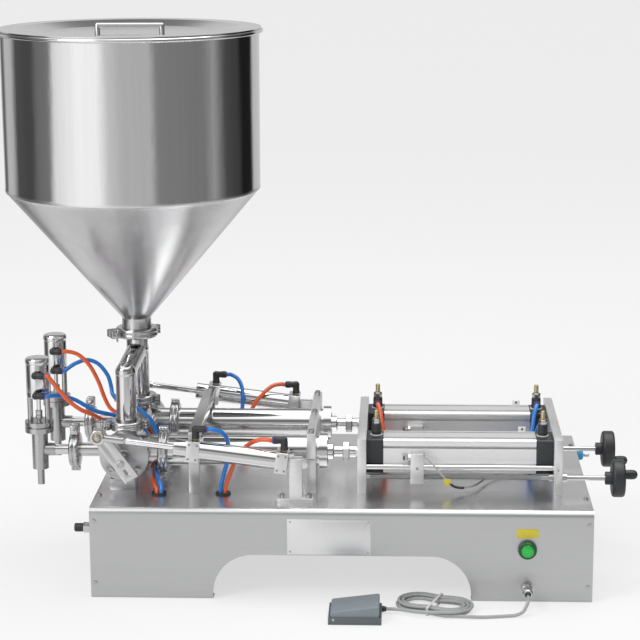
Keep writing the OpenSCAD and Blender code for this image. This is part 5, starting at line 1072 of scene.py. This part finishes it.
for tint, material, line in (("blue", hose_blue, to_port(out_of(swing_blue, EAST), *front_port(1, 1))),
                             ("orange", hose_orange, to_port(out_of(swing_orange, WEST), *front_port(1, 0)))):
    for row, points in (("front", line), ("rear", flipped(line))):
        path = smooth_line(points, 5)
        hose = bending_tube(f"{row}_swing_hose_{tint}", path, HOSE_D, material, tint + "_hose",
                            f"{row}_swing", path[0], path[-1])
        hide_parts(tint + "_hoses")


# Valve bank and control box, inside the cabinet
# Six black air valves hang under an aluminium manifold block, which is fixed to the deck's
# underside; a black moulded box in the right end of the cabinet holds the controls.
bank = bmesh.new()
add_block(bank, (BANK_START, -BANK_HALF, 143), (BANK_END, BANK_HALF, 167), 0.8)
build("valve_manifold", bank, "machine", anodised, "barrel_aluminium", "valve_bank")
valves = bmesh.new()
for k in range(VALVES):
    middle = valve_x(k)
    add_block(valves, (middle - VALVE_HALF, -BANK_HALF, 93), (middle + VALVE_HALF, BANK_HALF, 143), 1.2)
build("air_valves", valves, "machine", black_plastic, "black_plastic")
box = bmesh.new()
add_block(box, (352, -120, 34), (448, 60, 130), 3)
build("control_housing", box, "machine", black_plastic, "black_plastic", "control_box")


# Pressure knob
# Light blue moulded knob with a ribbed edge, on a thin nickel-plated stem that goes through the
# right end panel, where a ring on the inside holds it.
outward = aimed((450, 165, 152))
knob = spun([(2, 4), (2, 9.2), (3, 9.6), (14, 9.2), (16, 7.6), (16, 4)], outward, 48, 0.8)
RIBS = 24
for k in range(RIBS):
    rib = bmesh.new()
    add_block(rib, (3, -0.6, 8.6), (13, 0.6, 9.95), 0.3, 1)
    merge(knob, rib, outward @ Matrix.Rotation(2*math.pi*k/RIBS, 4, "X"))
knob_blue = moulded("knob_blue", (0.06, 0.42, 0.72), 0.3)
build("knob_cap", knob, "knob", knob_blue, "knob_blue", "air_knob")
stem = spun([(-22, 0), (-22, 4), (17, 4), (17.6, 3.2), (19, 3.2), (19.6, 4), (27, 4), (28, 3.2), (28, 0)],
            outward, 28, 0.3)
add_turned(stem, disc(-4.7, -2.3, 6.2, 4), outward, 32, 0.3)
build("knob_stem", stem, "knob", nickel, "screw_steel")


# Foot switch
# Slate-grey moulded base tray with a wedge-shaped treadle on a pin, its low end hinged and its high
# end held up by a spring; the cord enters by a black gland.
pedal_slate = moulded("pedal_slate", (0.25, 0.29, 0.32), 0.44, 0.85, 0.00006)
# Painted shade: the base tray takes the treadle's slate darkened to about half, for the shadow under the
# treadle.
pedal_slate_painted_shade = moulded("pedal_slate_painted_shade", (0.13, 0.15, 0.165), 0.5, 0.85, 0.00006)
base = bmesh.new()
TRAY_FRONT, TRAY_BACK, TRAY_TOP, PEDAL_Y = -377.6, -300, 13, -339
for low, high in (((-18, TRAY_FRONT, 0), (75, TRAY_BACK, 3)),
                  ((-18, TRAY_FRONT, 2.5), (-15, TRAY_BACK, TRAY_TOP)),
                  ((72, TRAY_FRONT, 2.5), (75, TRAY_BACK, TRAY_TOP)),
                  ((-15.5, TRAY_FRONT, 2.5), (72.5, -375, TRAY_TOP)),
                  ((-15.5, -303, 2.5), (72.5, TRAY_BACK, TRAY_TOP))):
    add_block(base, low, high, 0.8)
build("pedal_tray", base, "machine", pedal_slate_painted_shade, "pedal_grey", "pedal_base")
gland = spun([(0, 3.05), (0, 5.5), (3, 5.5), (3.4, 4.9), (6.6, 4.6), (8, 3.8), (8, 3.05)],
             aimed((75, -317, 8)), 32)
build("cord_gland", gland, "machine", black_plastic, "black_plastic")
pins = spun([(-378, 0), (-378, 1.8), (-377.7, 2.2), (-375, 2.2), (-375, 2), (-303, 2), (-303, 0)],
            aimed((-9, 0, 9), (0, 1, 0)), 20, 0.1)
add_turned(pins, disc(3, 5, 4.5), aimed((34, PEDAL_Y, 0), (0, 0, 1)), 24)
build("pedal_pin", pins, "machine", screw_steel, "screw_steel")
treadle = bmesh.new()
TREADLE_HALF = 0.0352
wedge = [(-14.2, 5.5), (-5, 5.5), (71.2, 9), (71.2, 33), (-14.2, 22)]
part = bmesh.new()
side_face = part.faces.new([part.verts.new((x/1000, -TREADLE_HALF, z/1000)) for x, z in wedge])
made = bmesh.ops.extrude_face_region(part, geom=[side_face])
moved = [v for v in made["geom"] if isinstance(v, bmesh.types.BMVert)]
bmesh.ops.translate(part, vec=(0, 2*TREADLE_HALF, 0), verts=moved)
bmesh.ops.recalc_face_normals(part, faces=part.faces)
UNDERSIDE, STEEP = 0.0089, 0.012
rounded = [e for e in part.edges if min(v.co.z for v in e.verts) > UNDERSIDE
           or abs(e.verts[0].co.z - e.verts[1].co.z) > STEEP]
bmesh.ops.bevel(part, geom=rounded, offset=0.0035, affect="EDGES", segments=4, profile=0.5, material=-1)
merge(treadle, part, at(0, PEDAL_Y, 0))
build("treadle_wedge", treadle, "treadle", pedal_slate, "pedal_grey", "pedal_treadle")
